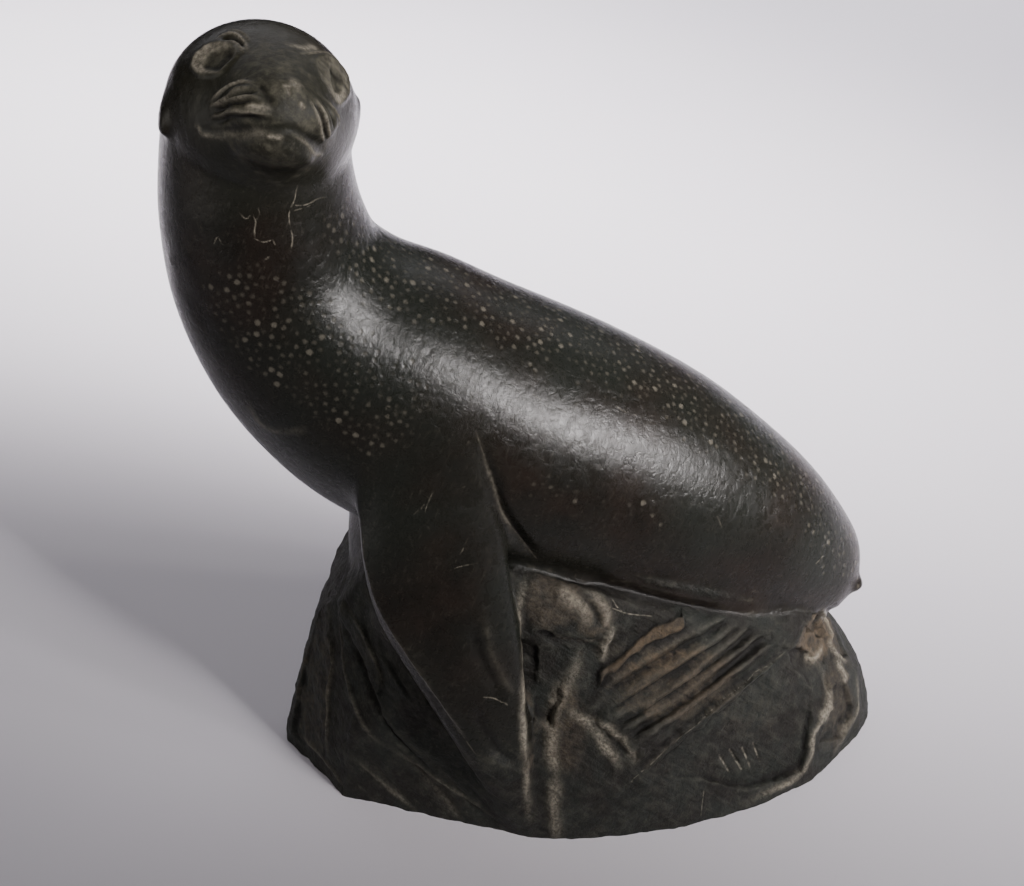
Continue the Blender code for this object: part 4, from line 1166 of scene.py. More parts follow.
class Block:
    """The carved block's skin as arrays, with the marks that its material reads."""

    def __init__(self, thing):
        self.thing = thing
        self.points, self.normals, self.edges = read_skin(thing.data)
        self.pale, self.dust, self.warm, self.matt = np.zeros((4, len(self.points)), np.float32)
        self.shift = np.zeros(len(self.points))
        self.rock = np.empty(len(self.points), np.float32)
        thing.data.attributes["rock"].data.foreach_get("value", self.rock)
        self.tree = BVHTree.FromObject(thing, bpy.context.evaluated_depsgraph_get())

    def lay(self, path):
        """A smooth path laid on the skin, from places given in metres."""
        rows = smooth_rows(path, PATH_STEPS)
        return np.array([tuple(self.tree.find_nearest(Vector(row))[0]) for row in rows])

    def lay_flat(self, path):
        """A straight path laid on the skin square to it, so that it stays straight."""
        rows = smooth_rows(path, PATH_STEPS)
        near = np.where(np.linalg.norm(self.points - rows.mean(0), axis=1) < FLAT_REACH * MM)[0]
        outward = Vector(self.normals[near].mean(0)).normalized()
        lift = outward * FLAT_LIFT * MM
        hits = [self.tree.ray_cast(Vector(row) + lift, -outward)[0] for row in rows]
        return np.array([tuple(hit) for hit in hits])

    def uneven(self, which, amount):
        """Points put a little off, so that what is measured from them comes out uneven."""
        some = self.points[which]
        return some + amount * MM * np.stack([noise(some, UNEVEN_SIZE, 90 + k) for k in range(3)], 1)

    def measure(self, path, reach, unevenness):
        """Points near a path: which they are, how far off, on which side, and how far along, in metres."""
        low, high = path.min(0) - reach, path.max(0) + reach
        near = np.where(np.all((self.points > low) & (self.points < high), axis=1))[0]
        some = self.uneven(near, unevenness)
        gap = np.full(len(some), FAR)
        side = np.zeros(len(some))
        place = np.zeros(len(some))
        run = np.concatenate([[0.0], np.cumsum(np.linalg.norm(np.diff(path, axis=0), axis=1))])
        for i, (start, end) in enumerate(zip(path, path[1:])):
            step = end - start
            share = share_along(some, start, step)
            away = some - (start + share[:, None] * step)
            far = np.linalg.norm(away, axis=1)
            closer = far < gap
            gap[closer] = far[closer]
            right_hand = np.cross(step, self.normals[near[closer]])
            side[closer] = np.sign((away[closer] * right_hand).sum(1))
            place[closer] = run[i] + share[closer] * (run[i + 1] - run[i])
        keep = gap < reach
        return near[keep], gap[keep], side[keep], place[keep], run[-1]

    def work(self, kind, half_width, depth, pale, path, end_share=END_SHARE, flat=False):
        """One carved line. Its path is in metres, its width and depth in millimetres."""
        path = self.lay_flat(path) if flat else self.lay(path)
        width = half_width * MM
        unevenness = ROUGH_UNEVENNESS if kind == "rough" else LINE_UNEVENNESS
        near, gap, side, place, length = self.measure(path, width * LINE_REACH, unevenness)
        ends = np.clip(np.minimum(place, length - place) / (length * end_share), 0.0, 1.0)
        soft = np.exp(-((gap / width) ** 2)) * ends
        some = self.points[near]
        broken = np.clip(layered(noise, some, BREAKS, BREAKS_LEVEL), 0.0, BREAKS_MOST)
        if kind == "groove":
            self.shift[near] -= soft * depth * MM
        elif kind == "ridge":
            self.shift[near] += soft * depth * MM
        elif kind == "crest":
            sharp = np.clip(1.0 - gap / width, 0.0, 1.0) ** CREST_SHARPNESS
            self.shift[near] += sharp * ends * depth * MM
        elif kind == "rough":
            rubble = layered(noise, some, RUBBLE, RUBBLE_LEVEL)
            narrow = np.exp(-((ROUGH_STEEPNESS * gap / width) ** 2))
            self.shift[near] += narrow * ends * depth * MM * broken * rubble
        elif kind == "step":
            over = 0.5 + 0.5 * np.clip(side * gap / (STEP_EDGE * MM), -1.0, 1.0)
            self.shift[near] -= over * fade(gap, width) * ends * depth * MM
        line = STEP_MARK * MM if kind == "step" else width * MARK_SHARE
        mark = np.exp(-((gap / line) ** 2)) * ends * pale * np.clip(broken + MARK_EXCESS, 0.0, 1.0)
        self.pale[near] = np.maximum(self.pale[near], mark)

    def claim(self, path, reach):
        """The skin on the left of a path, seen from outside and walked forwards, made the seal's."""
        near, gap, side, _, _ = self.measure(self.lay(path), reach, LINE_UNEVENNESS)
        signed = side * gap / MM
        weight = np.clip(BELLY_FIRMNESS * fade(gap, reach), 0.0, 1.0)
        rock = self.rock[near]
        beyond = np.clip(0.5 + signed, 0.0, 1.0)
        self.rock[near] = rock + weight * (np.minimum(rock, beyond) - rock)
        dull = BELLY_DULLNESS * np.exp(-((signed / BELLY_MATT) ** 2))
        self.matt[near] = np.maximum(self.matt[near], dull)

    def plane(self, sink, dust, corners):
        """A flat plane cut inside an outline of corners, sunk by so many millimetres."""
        corners = np.array(corners) * MM
        middle = corners.mean(0)
        reach = np.linalg.norm(corners - middle, axis=1).max() + PLANE_EDGE * MM
        near = np.where(np.linalg.norm(self.points - middle, axis=1) < reach)[0]
        axes = np.linalg.svd(corners - middle)[2]
        outward = self.normals[near].mean(0)
        normal = axes[2] * (1.0 if axes[2] @ outward > 0.0 else -1.0)
        places = (self.uneven(near, PLANE_UNEVENNESS) - middle) @ axes[:2].T
        signed = signed_gap(places, (corners - middle) @ axes[:2].T) / (PLANE_EDGE * MM)
        height = (self.points[near] - middle) @ normal
        mask = eased(np.clip(0.5 + 0.5 * signed, 0.0, 1.0))
        mask *= (np.abs(height) < PLANE_DEPTH * MM) & (self.normals[near] @ normal > 0.0)
        moved = (-sink * MM - height) * PLANE_FLATNESS * mask
        self.points[near] += normal * moved[:, None]
        self.dust[near] = np.maximum(self.dust[near], mask * dust)

    def nearest(self, mesh):
        """For each point of a lighter mesh, the nearest point of this skin."""
        tree = search_tree(self.points)
        return np.array([tree.find(vert.co)[1] for vert in mesh.vertices])

    def settle(self):
        """The shifts so far made real, with fresh normals and a fresh search tree."""
        self.points = self.points + self.normals * self.shift[:, None]
        self.shift[:] = 0.0
        write_skin(self.thing.data, self.points)
        self.normals = read_skin(self.thing.data)[1]
        self.tree = BVHTree.FromObject(self.thing, bpy.context.evaluated_depsgraph_get())


def carve_eyes(block):
    """A crusty ring around a sunk middle, with a thin lid edge outside it."""
    for rim, pit, palest, reach, paleness, rest in EYES.values():
        rim = np.array([on_head(*place) for place in smooth_loop(rim)])
        pit = np.array([on_head(*place) for place in smooth_loop(pit)])
        middle = rim.mean(0)
        rim = middle + (rim - middle) * EYE_RING_SHRINK
        far = np.linalg.norm(rim - middle, axis=1).max() + EYE_MARGIN * MM
        near = np.where(np.linalg.norm(block.points - middle, axis=1) < far)[0]
        axes = np.linalg.svd(rim - middle)[2][:2].T
        places = (block.uneven(near, EYE_UNEVENNESS) - middle) @ axes
        in_rim = signed_gap(places, (rim - middle) @ axes) / MM
        in_pit = signed_gap(places, (pit - middle) @ axes) / MM
        some = block.points[near]
        crust = layered(noise, some, CRUST)
        lid = EYE_LID_HEIGHT * np.exp(-((in_rim / EYE_LID_WIDTH) ** 2))
        lid = lid * (LID_CRUST[0] + LID_CRUST[1] * crust)
        sunk = np.clip(in_pit / EYE_PIT_RUN + EYE_PIT_START, 0.0, 1.0)
        sunk = EYE_PIT * sunk * sunk * (3.0 - 2.0 * sunk)
        ring = np.clip(in_rim / EYE_RING_EDGE + EYE_RING_OUTER, 0.0, 1.0)
        ring = ring * np.clip(EYE_RING_INNER - in_pit / EYE_RING_EDGE, 0.0, 1.0)
        raised = EYE_RING_RISE * ring * (RING_CRUST[0] + RING_CRUST[1] * crust)
        block.shift[near] += (lid - sunk + raised) * MM
        gap = np.linalg.norm(some - np.array(on_head(*palest)), axis=1)
        amount = paleness * (rest + (1.0 - rest) * fade(gap, reach * MM))
        amount = amount * (PALE_CRUST[0] + PALE_CRUST[1] * crust)
        block.pale[near] = np.maximum(block.pale[near], np.clip(ring * amount, 0.0, 1.0))
        block.matt[near] = np.maximum(block.matt[near], np.clip(0.5 + in_rim, 0.0, 1.0))


def dot_chance(block):
    """How likely a dot is at each point of the skin."""
    points = block.points / MM
    off_middle = np.abs(points[:, 1])
    behind = np.clip((points[:, 0] - BACK_START) / BACK_RUN_IN, 0.0, 1.0)
    behind = behind * (block.normals[:, 2] > BACK_LEAST_SLOPE)
    chance = BACK_DOTS * behind * np.clip((BACK_REACH - off_middle) / BACK_RUN_OUT, 0.0, 1.0)
    near_side = points * (1.0, 0.0, 1.0) - off_middle[:, None] * (0.0, 1.0, 0.0)
    for start, end, half_width, amount in DOT_BANDS:
        step = np.array(end) - np.array(start)
        share = share_along(near_side, start, step)
        gap = np.linalg.norm(near_side - start - share[:, None] * step, axis=1)
        there = amount * np.clip((half_width - gap) / BAND_RUN_OUT, 0.0, 1.0)
        there *= np.where(points[:, 1] > 0.0, FAR_SIDE_SHARE, 1.0)
        chance = np.maximum(chance, there)
    off_head = np.linalg.norm(points - np.array(HEAD_PLACE), axis=1) > DOT_HEAD_GAP
    return chance * (block.rock < DOT_MOST_ROCK) * off_head


def dot_places(block):
    """Where the dots are drilled, loosely even, with the strength of each."""
    chance = dot_chance(block)
    rng = np.random.default_rng(SEED)
    order = rng.permutation(np.where(chance > DOT_LEAST_CHANCE)[0])[:DOT_TRIES]
    tree = search_tree(block.points[order])
    dropped = np.zeros(len(order), bool)
    places = []
    for i, index in enumerate(order):
        if dropped[i]:
            continue
        for _, j, _ in tree.find_range(block.points[index], DOT_SPACING * MM):
            dropped[j] = True
        if rng.random() < chance[index]:
            if rng.random() > BRIGHT_SHARE:
                strength = DOT_WEAKEST + DOT_ADDED * rng.random() ** DOT_SELDOM
            else:
                strength = BRIGHT_STRENGTH
            places.append((tuple(block.points[index]), strength))
    return places


def rough_stone(block):
    """Broken and chiselled texture on the rock, and the faint unevenness of the rubbed seal."""
    block.dust = np.maximum(block.dust, block.rock * ROCK_DUST)
    for middle, reach, amount, warmth in DUSTY:
        zone = within(block.points, middle, reach) * block.rock
        block.dust = np.maximum(block.dust, zone * amount)
        block.warm = np.maximum(block.warm, zone * warmth)
    rocky = np.where(block.rock > LEAST_ROCK)[0]
    some = block.points[rocky]
    broken = np.clip(block.dust[rocky], 0.0, 1.0)
    tool_across = np.cross(TOOL_ALONG, (0.0, -1.0, 0.0))
    turned = np.stack([some @ TOOL_ALONG, some @ tool_across, some[:, 1]], 1)
    shift = (layered(scoops, turned, CHISELLED) - CHISELLED_LEVEL) * (1.0 - broken)
    shift += broken * (layered(scoops, some, BROKEN) - BROKEN_LEVEL)
    shift += layered(noise, some, BUMPS)
    clean = within(some, *CLEAN)
    block.shift[rocky] += block.rock[rocky] * shift * (1.0 - (1.0 - CLEAN_SHARE) * clean) * MM
    share, size, seed = SEAL_BUMPS
    block.shift += (1.0 - block.rock) * share * noise(block.points, size, seed) * MM
    muzzle = np.linalg.norm(block.points - np.array(on_head(*MUZZLE)), axis=1)
    block.matt = np.maximum(block.matt, np.maximum(block.rock, fade(muzzle, MUZZLE_REACH * MM)))


def nearness(points, tree):
    """Distance of each point to a surface."""
    return np.array([tree.find_nearest(Vector(point))[3] for point in points])


def add_modifier(thing, name, kind, **settings):
    modifier = thing.modifiers.new(name, kind)
    for setting, value in settings.items():
        setattr(modifier, setting, value)
    apply_modifiers(thing)


def forms():
    """The seal's masses and the rock's, still apart. The ribbed hind flippers are matt and count as rock."""
    far_hind = [(x, -y, *rest) for x, y, *rest in HIND]
    far_facing = (HIND_FACING[0], -HIND_FACING[1], HIND_FACING[2])
    animal = [
        body(),
        head(),
        *face_masses(),
        blade("near foreflipper", NEAR_FORE, NEAR_FORE_FACING),
        blade("far foreflipper", FAR_FORE, FAR_FORE_FACING),
        *body_lumps(),
    ]
    stone = [
        blade("near hind flipper", HIND, HIND_FACING, RIB_COUNT),
        blade("far hind flipper", far_hind, far_facing, RIB_COUNT),
        blade("shelf", SHELF, SHELF_FACING),
        rock(),
    ]
    return animal, stone


def rock_share(points, rocky):
    """The share of rock, raised where the rock's surface runs up onto the flippers' ends."""
    level = np.where(points[:, 1] < ROCK_FRONT * MM, ROCK_LEVELS[0], ROCK_LEVELS[1])
    low = np.clip((level + ROCK_FADE - points[:, 2] / MM) / ROCK_FADE, 0.0, 1.0)
    return np.maximum(rocky, low * (points[:, 0] < 0.0))


def build_block():
    """The whole block as one fine skin, not yet carved, with the share of rock at each point."""
    animal, stone = forms()
    block = join(animal + stone, "seal_carving")
    animal_skin = join(animal, "animal")
    stone_skin = join(stone, "stone")
    graph = bpy.context.evaluated_depsgraph_get()
    animal_tree = BVHTree.FromObject(animal_skin, graph)
    stone_tree = BVHTree.FromObject(stone_skin, graph)
    for piece in animal + stone + [animal_skin, stone_skin]:
        bpy.data.objects.remove(piece)
    add_modifier(block, "one skin", "REMESH", mode="VOXEL", voxel_size=VOXEL * MM, adaptivity=0.0)
    points, _, edges = read_skin(block.data)
    apart = nearness(points, animal_tree) - nearness(points, stone_tree)
    rocky = np.clip(0.5 + apart / (STONE_BAND * MM), 0.0, 1.0)
    points = relax(points, edges, SOFTNESS * (1.0 - ROCK_CRISPNESS * rocky), SOFT_PASSES)
    for middle, reach, passes in BLENDS:
        gap = np.linalg.norm(points - np.array(middle) * MM, axis=1)
        points = relax(points, edges, BLEND_SOFTNESS * fade(gap, reach * MM), passes * BLEND_PASSES)
    write_skin(block.data, points)
    write_mark(block.data, "rock", rock_share(points, rocky))
    add_modifier(block, "finer", "SUBSURF", levels=1, render_levels=1)
    return block


def carve(thing):
    """All the hand work, and the marks of wear, on the fine skin."""
    block = Block(thing)
    for sink, dust, corners in PLANES.values():
        block.plane(sink, dust, corners)
    block.settle()
    for kind, half_width, depth, pale, path in WORK.values():
        block.work(kind, half_width, depth, pale, np.array(path) * MM)
    block.claim(np.array(WORK["under the belly"][-1] + BELLY_END) * MM, BELLY_REACH * MM)
    for path in RIB_CRESTS:
        block.work("ridge", *RIB_CREST, np.array(path) * MM, SHORT_END_SHARE)
    for path, other in zip(RIB_CRESTS, RIB_CRESTS[1:]):
        block.work("groove", *RIB_GROOVE, (np.array(path) + np.array(other)) * MM / 2.0, SHORT_END_SHARE)
    for kind, half_width, depth, pale, path in FACE_WORK.values():
        block.work(kind, half_width, depth, pale, np.array([on_head(*place) for place in path]))
    carve_eyes(block)
    block.settle()
    for path in STROKES:
        block.work("groove", *STROKE, np.array(path) * MM, SHORT_END_SHARE, True)
    rough_stone(block)
    block.settle()
    return block


def hollows(block):
    """How hollow the skin is at each point, in millimetres; below 0 where it stands out."""
    softness = np.full(len(block.points), HOLLOW_SOFTNESS)
    smoothed = relax(block.points, block.edges, softness, HOLLOW_PASSES)
    return ((smoothed - block.points) * block.normals).sum(1) / MM


def cut_flat(mesh):
    """The underside cut flat at Z 0, and all faces made triangles."""
    work = bmesh.new()
    work.from_mesh(mesh)
    cut_away(work, Vector((0.0, 0.0, 0.0)), Vector((0.0, 0.0, -1.0)))
    bmesh.ops.triangulate(work, faces=work.faces)
    work.to_mesh(mesh)
    work.free()


def lighten(thing, block):
    """Fewer triangles, kept where the form turns, a flat underside at Z 0, and the marks carried over."""
    hollow = hollows(block)
    dots = dot_places(block)
    lines = [(block.lay(np.array(path) * MM), width, pale) for width, pale, path in FINE_LINES]
    lines += [(block.lay_flat(np.array(path) * MM), *STROKE_LINE) for path in STROKES]
    count = sum(len(face.vertices) - 2 for face in thing.data.polygons)
    plain = thing.vertex_groups.new(name="plain")
    off_face = np.linalg.norm(block.points - np.array(on_head(*FACE_MIDDLE)), axis=1) > FACE_REACH * MM
    plain.add(np.where(off_face)[0].tolist(), 1.0, "REPLACE")
    add_modifier(thing, "fewer triangles", "DECIMATE", ratio=TRIANGLES / count, vertex_group=plain.name)
    cut_flat(thing.data)
    nearest = block.nearest(thing.data)
    level = (block.rock < 0.5) & off_face & (np.abs(hollow) < EVEN_LEVEL)
    points, _, edges = read_skin(thing.data)
    points = relax(points, edges, EVEN_SHARE * level[nearest], EVEN_PASSES)
    write_skin(thing.data, np.clip(points, cad_box[0], cad_box[1]))
    nearest = block.nearest(thing.data)
    for name in ("pale", "dust", "warm", "rock", "matt"):
        write_mark(thing.data, name, getattr(block, name)[nearest])
    write_mark(thing.data, "hollow", np.clip(hollow[nearest] / HOLLOW_DEPTH, -1.0, 1.0))
    mark_dots(thing.data, dots)
    mark_lines(thing.data, lines)
    thing.data.polygons.foreach_set("use_smooth", np.ones(len(thing.data.polygons), bool))
    thing.data.update()


def read_faces(mesh):
    """Corners and middles of a mesh of triangles, in metres."""
    corners = np.empty(len(mesh.loops), np.int32)
    mesh.loops.foreach_get("vertex_index", corners)
    triangles = read_points(mesh)[corners].reshape(-1, 3, 3)
    return triangles, triangles.mean(1)


def write_ways(mesh, name, ways, amounts):
    """For each corner of each face a way in millimetres, and a strength, for the material to read."""
    layer = mesh.attributes.new(name + " way", "FLOAT_VECTOR", "CORNER")
    layer.data.foreach_set("vector", (ways / MM).astype(np.float32).ravel())
    layer = mesh.attributes.new(name, "FLOAT", "CORNER")
    layer.data.foreach_set("value", np.repeat(amounts, 3).astype(np.float32))


def mark_dots(mesh, dots):
    """For each face, the ways from the two nearest dots to its corners, and those dots' strengths."""
    places = np.array([place for place, _ in dots])
    strengths = np.array([strength for _, strength in dots])
    tree = search_tree(places)
    triangles, middles = read_faces(mesh)
    nearest = np.array([[index for _, index, _ in tree.find_n(middle, len(DOT_MARKS))] for middle in middles])
    for name, which in zip(DOT_MARKS, nearest.T):
        write_ways(mesh, name, triangles - places[which][:, None], strengths[which])


def mark_lines(mesh, lines):
    """For each face, the way from the nearest fine line to its corners, in half widths of that line."""
    triangles, middles = read_faces(mesh)
    best = np.full(len(middles), LINE_MARGIN * MM)
    ways = np.full(triangles.shape, NO_LINE * MM)
    amounts = np.zeros(len(middles))
    for path, half_width, pale in lines:
        last = len(path) - 2
        for i, (start, end) in enumerate(zip(path, path[1:])):
            step = end - start
            length = max(np.linalg.norm(step), TINY)
            share = np.clip((middles - start) @ step / length**2, 0.0, 1.0)
            gap = np.linalg.norm(middles - start - share[:, None] * step, axis=1)
            closer = gap < best
            best[closer] = gap[closer]
            off = triangles[closer] - start
            along = off @ step / length
            before = LINE_OVERLAP * MM if i > 0 else 0.0
            after = LINE_OVERLAP * MM if i < last else 0.0
            over = along - np.clip(along, -before, length + after)
            across = off - along[..., None] * step / length
            ways[closer] = (across + over[..., None] * step / length) / half_width
            amounts[closer] = pale * (1.0 - LINE_TAPER * abs(2.0 * i / max(last, 1) - 1.0))
    write_ways(mesh, "line", ways, amounts)


class Nodes:
    """Short names for building a material's nodes. Sizes are in millimetres."""

    def __init__(self, name):
        self.material = bpy.data.materials.new(name)
        self.material.use_nodes = True
        self.tree = self.material.node_tree
        self.shader = self.tree.nodes["Principled BSDF"]
        self.place = self.tree.nodes.new("ShaderNodeTexCoord").outputs["Object"]

    def put(self, socket, value):
        if isinstance(value, bpy.types.NodeSocket):
            self.tree.links.new(value, socket)
        else:
            socket.default_value = value

    def surface(self, **values):
        """Values or links put into the shader's own sockets."""
        for name, value in values.items():
            self.put(self.shader.inputs[name.replace("_", " ")], value)

    def node(self, kind, inputs, **settings):
        """A node with its settings made and values or links put into its inputs."""
        node = self.tree.nodes.new("ShaderNode" + kind)
        for setting, value in settings.items():
            setattr(node, setting, value)
        for name, value in inputs.items():
            self.put(node.inputs[name], value)
        return node

    def mark(self, name):
        return self.node("Attribute", {}, attribute_name=name).outputs["Fac"]

    def length(self, name):
        """The length of a vector mark."""
        way = self.node("Attribute", {}, attribute_name=name).outputs["Vector"]
        return self.node("VectorMath", {0: way}, operation="LENGTH").outputs["Value"]

    def height(self):
        """How high a place is."""
        return self.chain("DIVIDE", self.node("SeparateXYZ", {0: self.place}).outputs["Z"], MM)

    def noise(self, size, detail=3.0, roughness=0.5, distortion=0.0):
        """Noise with bumps of the given size."""
        inputs = {"Detail": detail, "Roughness": roughness, "Distortion": distortion}
        inputs |= {"Vector": self.place, "Scale": 1.0 / (size * MM)}
        return self.node("TexNoise", inputs).outputs["Fac"]

    def streaks(self, along, length, width, detail=4.0):
        """Noise drawn out along a direction, with streaks of the given size."""
        turn = Vector(along).to_track_quat("X", "Z").to_euler()
        sizes = (length * MM, width * MM, width * MM)
        inputs = {"Vector": self.place, "Rotation": turn, "Scale": sizes}
        turned = self.node("Mapping", inputs, vector_type="TEXTURE")
        inputs = {"Vector": turned.outputs["Vector"], "Scale": 1.0, "Detail": detail}
        return self.node("TexNoise", inputs).outputs["Fac"]

    def chain(self, kind, first, *others):
        """The values taken together one after another."""
        for other in others:
            first = self.node("Math", {0: first, 1: other}, operation=kind).outputs["Value"]
        return first

    def plus(self, *values):
        return self.chain("ADD", *values)

    def times(self, *values):
        return self.chain("MULTIPLY", *values)

    def largest(self, *values):
        return self.chain("MAXIMUM", *values)

    def span(self, value, low, high, to_low=0.0, to_high=1.0):
        """A value carried from one range to another and kept inside it."""
        ends = {"From Min": low, "From Max": high, "To Min": to_low, "To Max": to_high}
        return self.node("MapRange", {"Value": value, **ends}).outputs["Result"]

    def mix(self, share, first, second):
        inputs = {"Factor": share, "A": first, "B": second}
        return self.node("Mix", inputs, data_type="RGBA").outputs["Result"]

    def bump(self, height, strength, depth, under=None):
        inputs = {"Strength": strength, "Distance": depth * MM, "Height": height}
        if under is not None:
            inputs["Normal"] = under
        return self.node("Bump", inputs).outputs["Normal"]


# The bare stone: three colours on the seal, a fourth towards the top of its head, and two on the rock. Then
# the thin veil on the rock and on the seal, the dust in two shades, the palest marks, and the near-black
# shade painted into the hollows.
DARK = (0.0082, 0.0070, 0.0052, 1.0)
BROWN = (0.0150, 0.0108, 0.0080, 1.0)
GREEN = (0.0112, 0.0125, 0.0100, 1.0)
OLIVE = (0.0200, 0.0190, 0.0110, 1.0)
ROCK_DARK = (0.0085, 0.0075, 0.0058, 1.0)
ROCK_GREEN = (0.0115, 0.0135, 0.0110, 1.0)
VEIL = (0.050, 0.050, 0.041, 1.0)
SEAL_VEIL = (0.092, 0.086, 0.063, 1.0)
DUST = (0.062, 0.053, 0.041, 1.0)
OCHRE = (0.098, 0.074, 0.048, 1.0)
PALE = (0.300, 0.272, 0.215, 1.0)
# Painted shade: the near-black colour laid into the hollows
PAINTED_SHADE = (0.0035, 0.0028, 0.0022, 1.0)

# How pale the dots, the flecks and the grazes come out
DOT_PALENESS = 0.17
FLECK_PALENESS = 0.09
GRAZE_PALENESS = 0.07
# Roughness where the stone is rubbed, where it is matt, and what dust and pale marks add; how much it mirrors
RUBBED_ROUGHNESS = 0.265
MATT_ROUGHNESS = 0.6
DRY_ROUGHNESS = 0.25
STONE_SPECULAR = 0.26


def colour_with_painted_shade(n, clouds, hollow):
    """The stone with nothing on it, and painted shade that darkens it most in the hollows."""
    broad = n.span(n.noise(26.0, 2.0), 0.4, 0.62)
    seal = n.mix(broad, n.mix(clouds, DARK, BROWN), GREEN)
    seal = n.mix(n.span(n.height(), 118.0, 142.0, 0.0, 0.6), seal, OLIVE)
    stone = n.mix(n.span(n.noise(9.0, 3.0, 0.6), 0.42, 0.58), ROCK_DARK, ROCK_GREEN)
    colour = n.mix(n.mark("rock"), seal, stone)
    # Painted shade: the more hollow the skin, the more its colour goes to the near-black shade colour
    return n.mix(n.span(hollow, 0.1, 0.8, 0.0, 0.85), colour, PAINTED_SHADE)


def dustiness(n, matt, hollow, tooled):
    """How much dust lies on the matt stone: in patches, along the tool marks, and less in the hollows."""
    patches = n.span(n.noise(2.6, 6.0, 0.7), 0.35, 0.65, -0.48, 0.48)
    patches = n.plus(patches, n.span(tooled, 0.3, 0.7, -0.2, 0.2))
    on_matt = n.times(matt, n.span(n.mark("rock"), 0.2, 0.8, 0.5, 0.3))
    laid = n.plus(n.largest(n.mark("dust"), on_matt), patches, n.span(hollow, -0.7, 0.7, 0.25, -0.5))
    fine = n.span(n.noise(0.9, 5.0, 0.65), 0.32, 0.62, 0.3, 1.0)
    return n.times(n.span(laid, 0.06, 1.05), fine, n.span(matt, 0.0, 0.4))


def dust_colour(n):
    """A thin veil where little dust was laid, and its own colour, warmer in places, where there is more."""
    veil = n.mix(n.mark("rock"), SEAL_VEIL, VEIL)
    return n.mix(n.span(n.mark("dust"), 0.3, 0.7), veil, n.mix(n.mark("warm"), DUST, OCHRE))


def flecks(n, clouds):
    """Fine pale flecks, and grazes along the rubbing."""
    fine = n.span(n.noise(1.0, 4.0, 0.75), 0.58, 0.72, 0.0, FLECK_PALENESS)
    grazed = n.span(n.streaks(RUB_ALONG, 3.0, 0.35, 5.0), 0.6, 0.72, 0.0, GRAZE_PALENESS)
    return n.times(n.plus(fine, grazed), n.span(clouds, 0.0, 1.0, 0.5, 1.0))


def drilled_dots(n):
    """How deep the drilled dots are at a place, and how pale."""
    drilled = pale = 0.0
    for name in DOT_MARKS:
        strength = n.mark(name)
        rim = n.plus(n.length(name + " way"), n.span(n.noise(0.5, 2.0), 0.3, 0.7, -0.12, 0.12))
        rim = n.chain("SUBTRACT", rim, n.times(strength, DOT_GROWTH))
        here = n.span(rim, DOT_RADIUS + DOT_EDGE, DOT_RADIUS - DOT_EDGE)
        drilled = n.largest(drilled, here)
        pale = n.largest(pale, n.times(here, strength, DOT_PALENESS))
    return drilled, pale


def thin_lines(n):
    """How pale the fine lines are, with a wavering width and broken along their length."""
    wobble = n.span(n.noise(0.8, 3.0), 0.3, 0.7, -0.25, 0.25)
    lined = n.span(n.plus(n.length("line way"), wobble), 1.5, 0.4)
    return n.times(lined, n.times(n.mark("line"), n.span(n.noise(0.9, 3.0), 0.36, 0.6, 0.1, 1.0)))


def relief(n, tooled, drilled):
    """The finest unevenness, from grain and rubbing to chips, tool marks and the dots."""
    rock_mark = n.mark("rock")
    grain = n.bump(n.noise(0.35, 4.0, 0.7), 0.25, 0.05)
    swirl = n.bump(n.noise(1.6, 5.0, 0.7, 0.8), 0.75, 0.14, grain)
    rubbed = n.bump(n.streaks(RUB_ALONG, 5.0, 0.9), 0.6, 0.09, swirl)
    chipped = n.bump(n.times(n.noise(0.8, 5.0, 0.7), rock_mark), 1.0, 0.4, rubbed)
    tools = n.bump(n.times(tooled, rock_mark), 0.7, 0.35, chipped)
    return n.bump(n.times(drilled, -1.0), 0.3, 0.1, tools)


def dark_stone():
    """Dark green-brown stone: rubbed on the seal, matt on the rock, pale dust in what was cut last."""
    n = Nodes("dark stone")
    matt = n.mark("matt")
    hollow = n.mark("hollow")
    pale = n.mark("pale")
    clouds = n.span(n.noise(7.0, 4.0, 0.6), 0.35, 0.7)
    tooled = n.streaks(TOOL_ALONG, 7.0, 0.8)
    dusty = dustiness(n, matt, hollow, tooled)
    drilled, dotted = drilled_dots(n)
    paling = n.times(pale, n.span(n.noise(0.6, 5.0, 0.7), 0.38, 0.6, 0.25, 0.95))
    marked = n.largest(dotted, thin_lines(n), paling, flecks(n, clouds))
    colour = n.mix(dusty, colour_with_painted_shade(n, clouds, hollow), dust_colour(n))
    sheen = n.span(n.noise(1.6, 5.0, 0.7, 0.5), 0.3, 0.7, -0.05, 0.09)
    rough = n.span(matt, 0.0, 1.0, RUBBED_ROUGHNESS, MATT_ROUGHNESS)
    n.surface(
        Base_Color=n.mix(marked, colour, PALE),
        Specular_IOR_Level=STONE_SPECULAR,
        Roughness=n.plus(rough, sheen, n.times(n.largest(pale, dusty), DRY_ROUGHNESS)),
        Normal=relief(n, tooled, drilled),
    )
    return n.material


# The paper floor: two tints that pass into each other, roughness, how much it mirrors, and half its size
# in metres
PAPER = (0.8, 0.77, 0.84, 1.0)
LIGHTER_PAPER = (0.82, 0.79, 0.85, 1.0)
PAPER_ROUGHNESS = 0.75
PAPER_SPECULAR = 0.25
FLOOR_HALF = 1.6


def floor_paper():
    n = Nodes("floor paper")
    tint = n.mix(n.span(n.noise(90.0, 2.0), 0.3, 0.7), PAPER, LIGHTER_PAPER)
    n.surface(Base_Color=tint, Roughness=PAPER_ROUGHNESS, Specular_IOR_Level=PAPER_SPECULAR)
    return n.material


def floor():
    work = bmesh.new()
    bmesh.ops.create_grid(work, x_segments=4, y_segments=4, size=FLOOR_HALF)
    thing = new_object("floor", work)
    thing.data.materials.append(floor_paper())


def aimed(thing, place, target):
    """A camera or light put in its place and turned to its target, both in metres."""
    thing.location = place
    thing.rotation_euler = (Vector(place) - Vector(target)).to_track_quat("Z", "Y").to_euler()
    bpy.context.scene.collection.objects.link(thing)


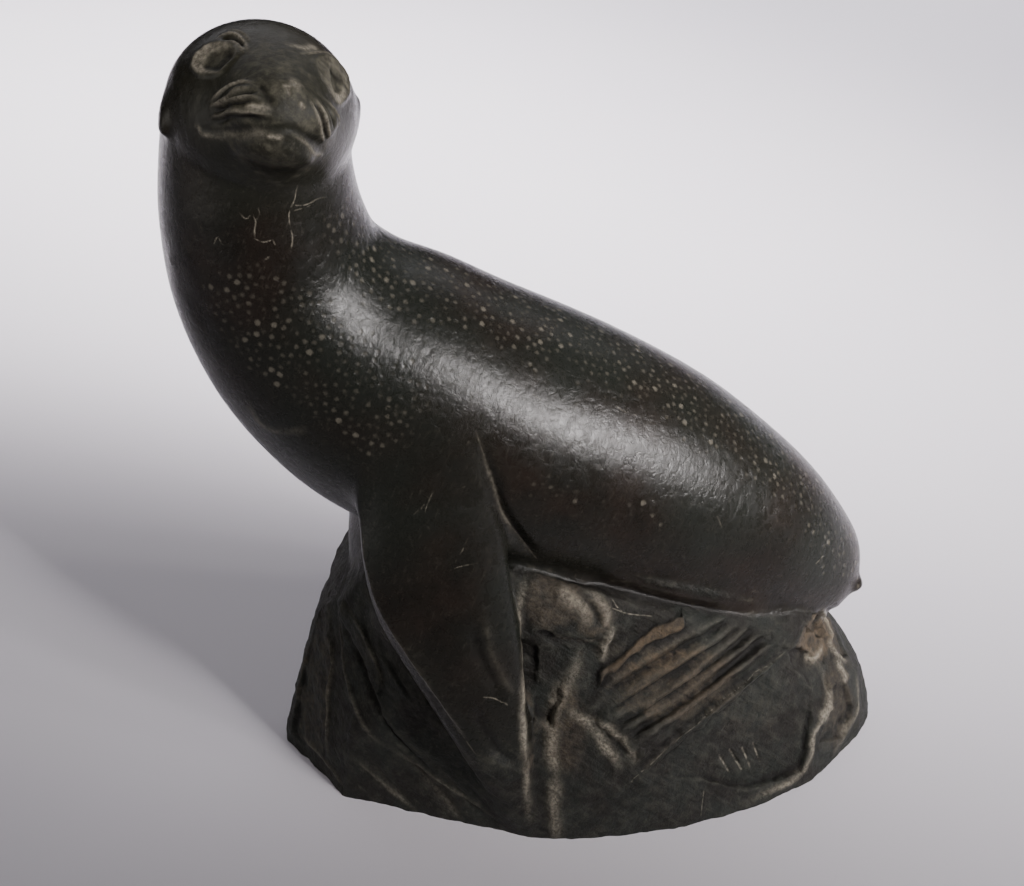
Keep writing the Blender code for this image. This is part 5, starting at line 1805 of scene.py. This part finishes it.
def direction(azimuth, rise):
    """A unit direction: azimuth from the front (-Y) towards +X, and height above the floor."""
    return Vector((
        math.sin(azimuth) * math.cos(rise),
        -math.cos(azimuth) * math.cos(rise),
        math.sin(rise),
    ))


def camera():
    lens = bpy.data.cameras.new("camera")
    lens.lens = LENS
    lens.sensor_width = SENSOR_WIDTH
    lens.clip_start = 0.01
    thing = bpy.data.objects.new("camera", lens)
    target = Vector(CAMERA_TARGET) * MM
    place = target + direction(CAMERA_AZIMUTH, CAMERA_RISE) * CAMERA_DISTANCE * MM
    aimed(thing, place, target)
    bpy.context.scene.camera = thing


# Soft lights: azimuth, rise, distance in metres, width, height, power in watts, colour, the spread in
# degrees, the place they are turned to, in metres, and how many panes stand side by side
LIGHTS = {
    "window": (60.0, 31.0, 0.95, 0.66, 0.34, 2.85, (1.0, 0.955, 0.95), 26.5, (-0.17, 0.38, 0.02), 5),
    "back wall": (178.0, 44.0, 0.7, 1.2, 0.3, 1.45, (0.96, 0.95, 1.0), 180.0, (-0.01, 0.0, 0.06), 1),
    "back ceiling": (162.0, 62.0, 1.0, 0.7, 0.4, 2.0, (0.98, 0.95, 1.0), 52.0, (0.16, 0.52, 0.0), 1),
    "left wall": (-66.0, 16.0, 0.9, 0.8, 0.6, 2.3, (1.0, 0.96, 0.9), 180.0, (-0.01, 0.0, 0.08), 1),
}
# The place in metres that the lights stand around, and the light that the room gives from all round
LIGHTS_MIDDLE = Vector((-0.01, 0.0, 0.06))
ROOM_COLOUR = (0.86, 0.84, 0.92, 1.0)
ROOM_STRENGTH = 0.06


def lights():
    for name, row in LIGHTS.items():
        azimuth, rise, distance, width, height, power, colour, spread, target, panes = row
        middle = LIGHTS_MIDDLE + direction(math.radians(azimuth), math.radians(rise)) * distance
        level = (middle - Vector(target)).cross(Vector((0.0, 0.0, 1.0))).normalized()
        for i in range(panes):
            lamp = bpy.data.lights.new(name, "AREA")
            lamp.shape = "RECTANGLE"
            lamp.size = width / panes
            lamp.size_y = height
            lamp.energy = power / panes
            lamp.color = colour
            lamp.spread = math.radians(spread)
            place = middle + level * width * ((i + 0.5) / panes - 0.5)
            aimed(bpy.data.objects.new(name, lamp), place, target)


def room():
    """Faint light from all round."""
    world = bpy.data.worlds.new("room")
    world.use_nodes = True
    background = world.node_tree.nodes["Background"]
    background.inputs["Color"].default_value = ROOM_COLOUR
    background.inputs["Strength"].default_value = ROOM_STRENGTH
    bpy.context.scene.world = world


def main():
    camera()
    figure = build_block()
    lighten(figure, carve(figure))
    figure.data.materials.clear()
    figure.data.materials.append(dark_stone())
    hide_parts(NODE)
    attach(figure, "root")
    floor()
    lights()
    room()


main()
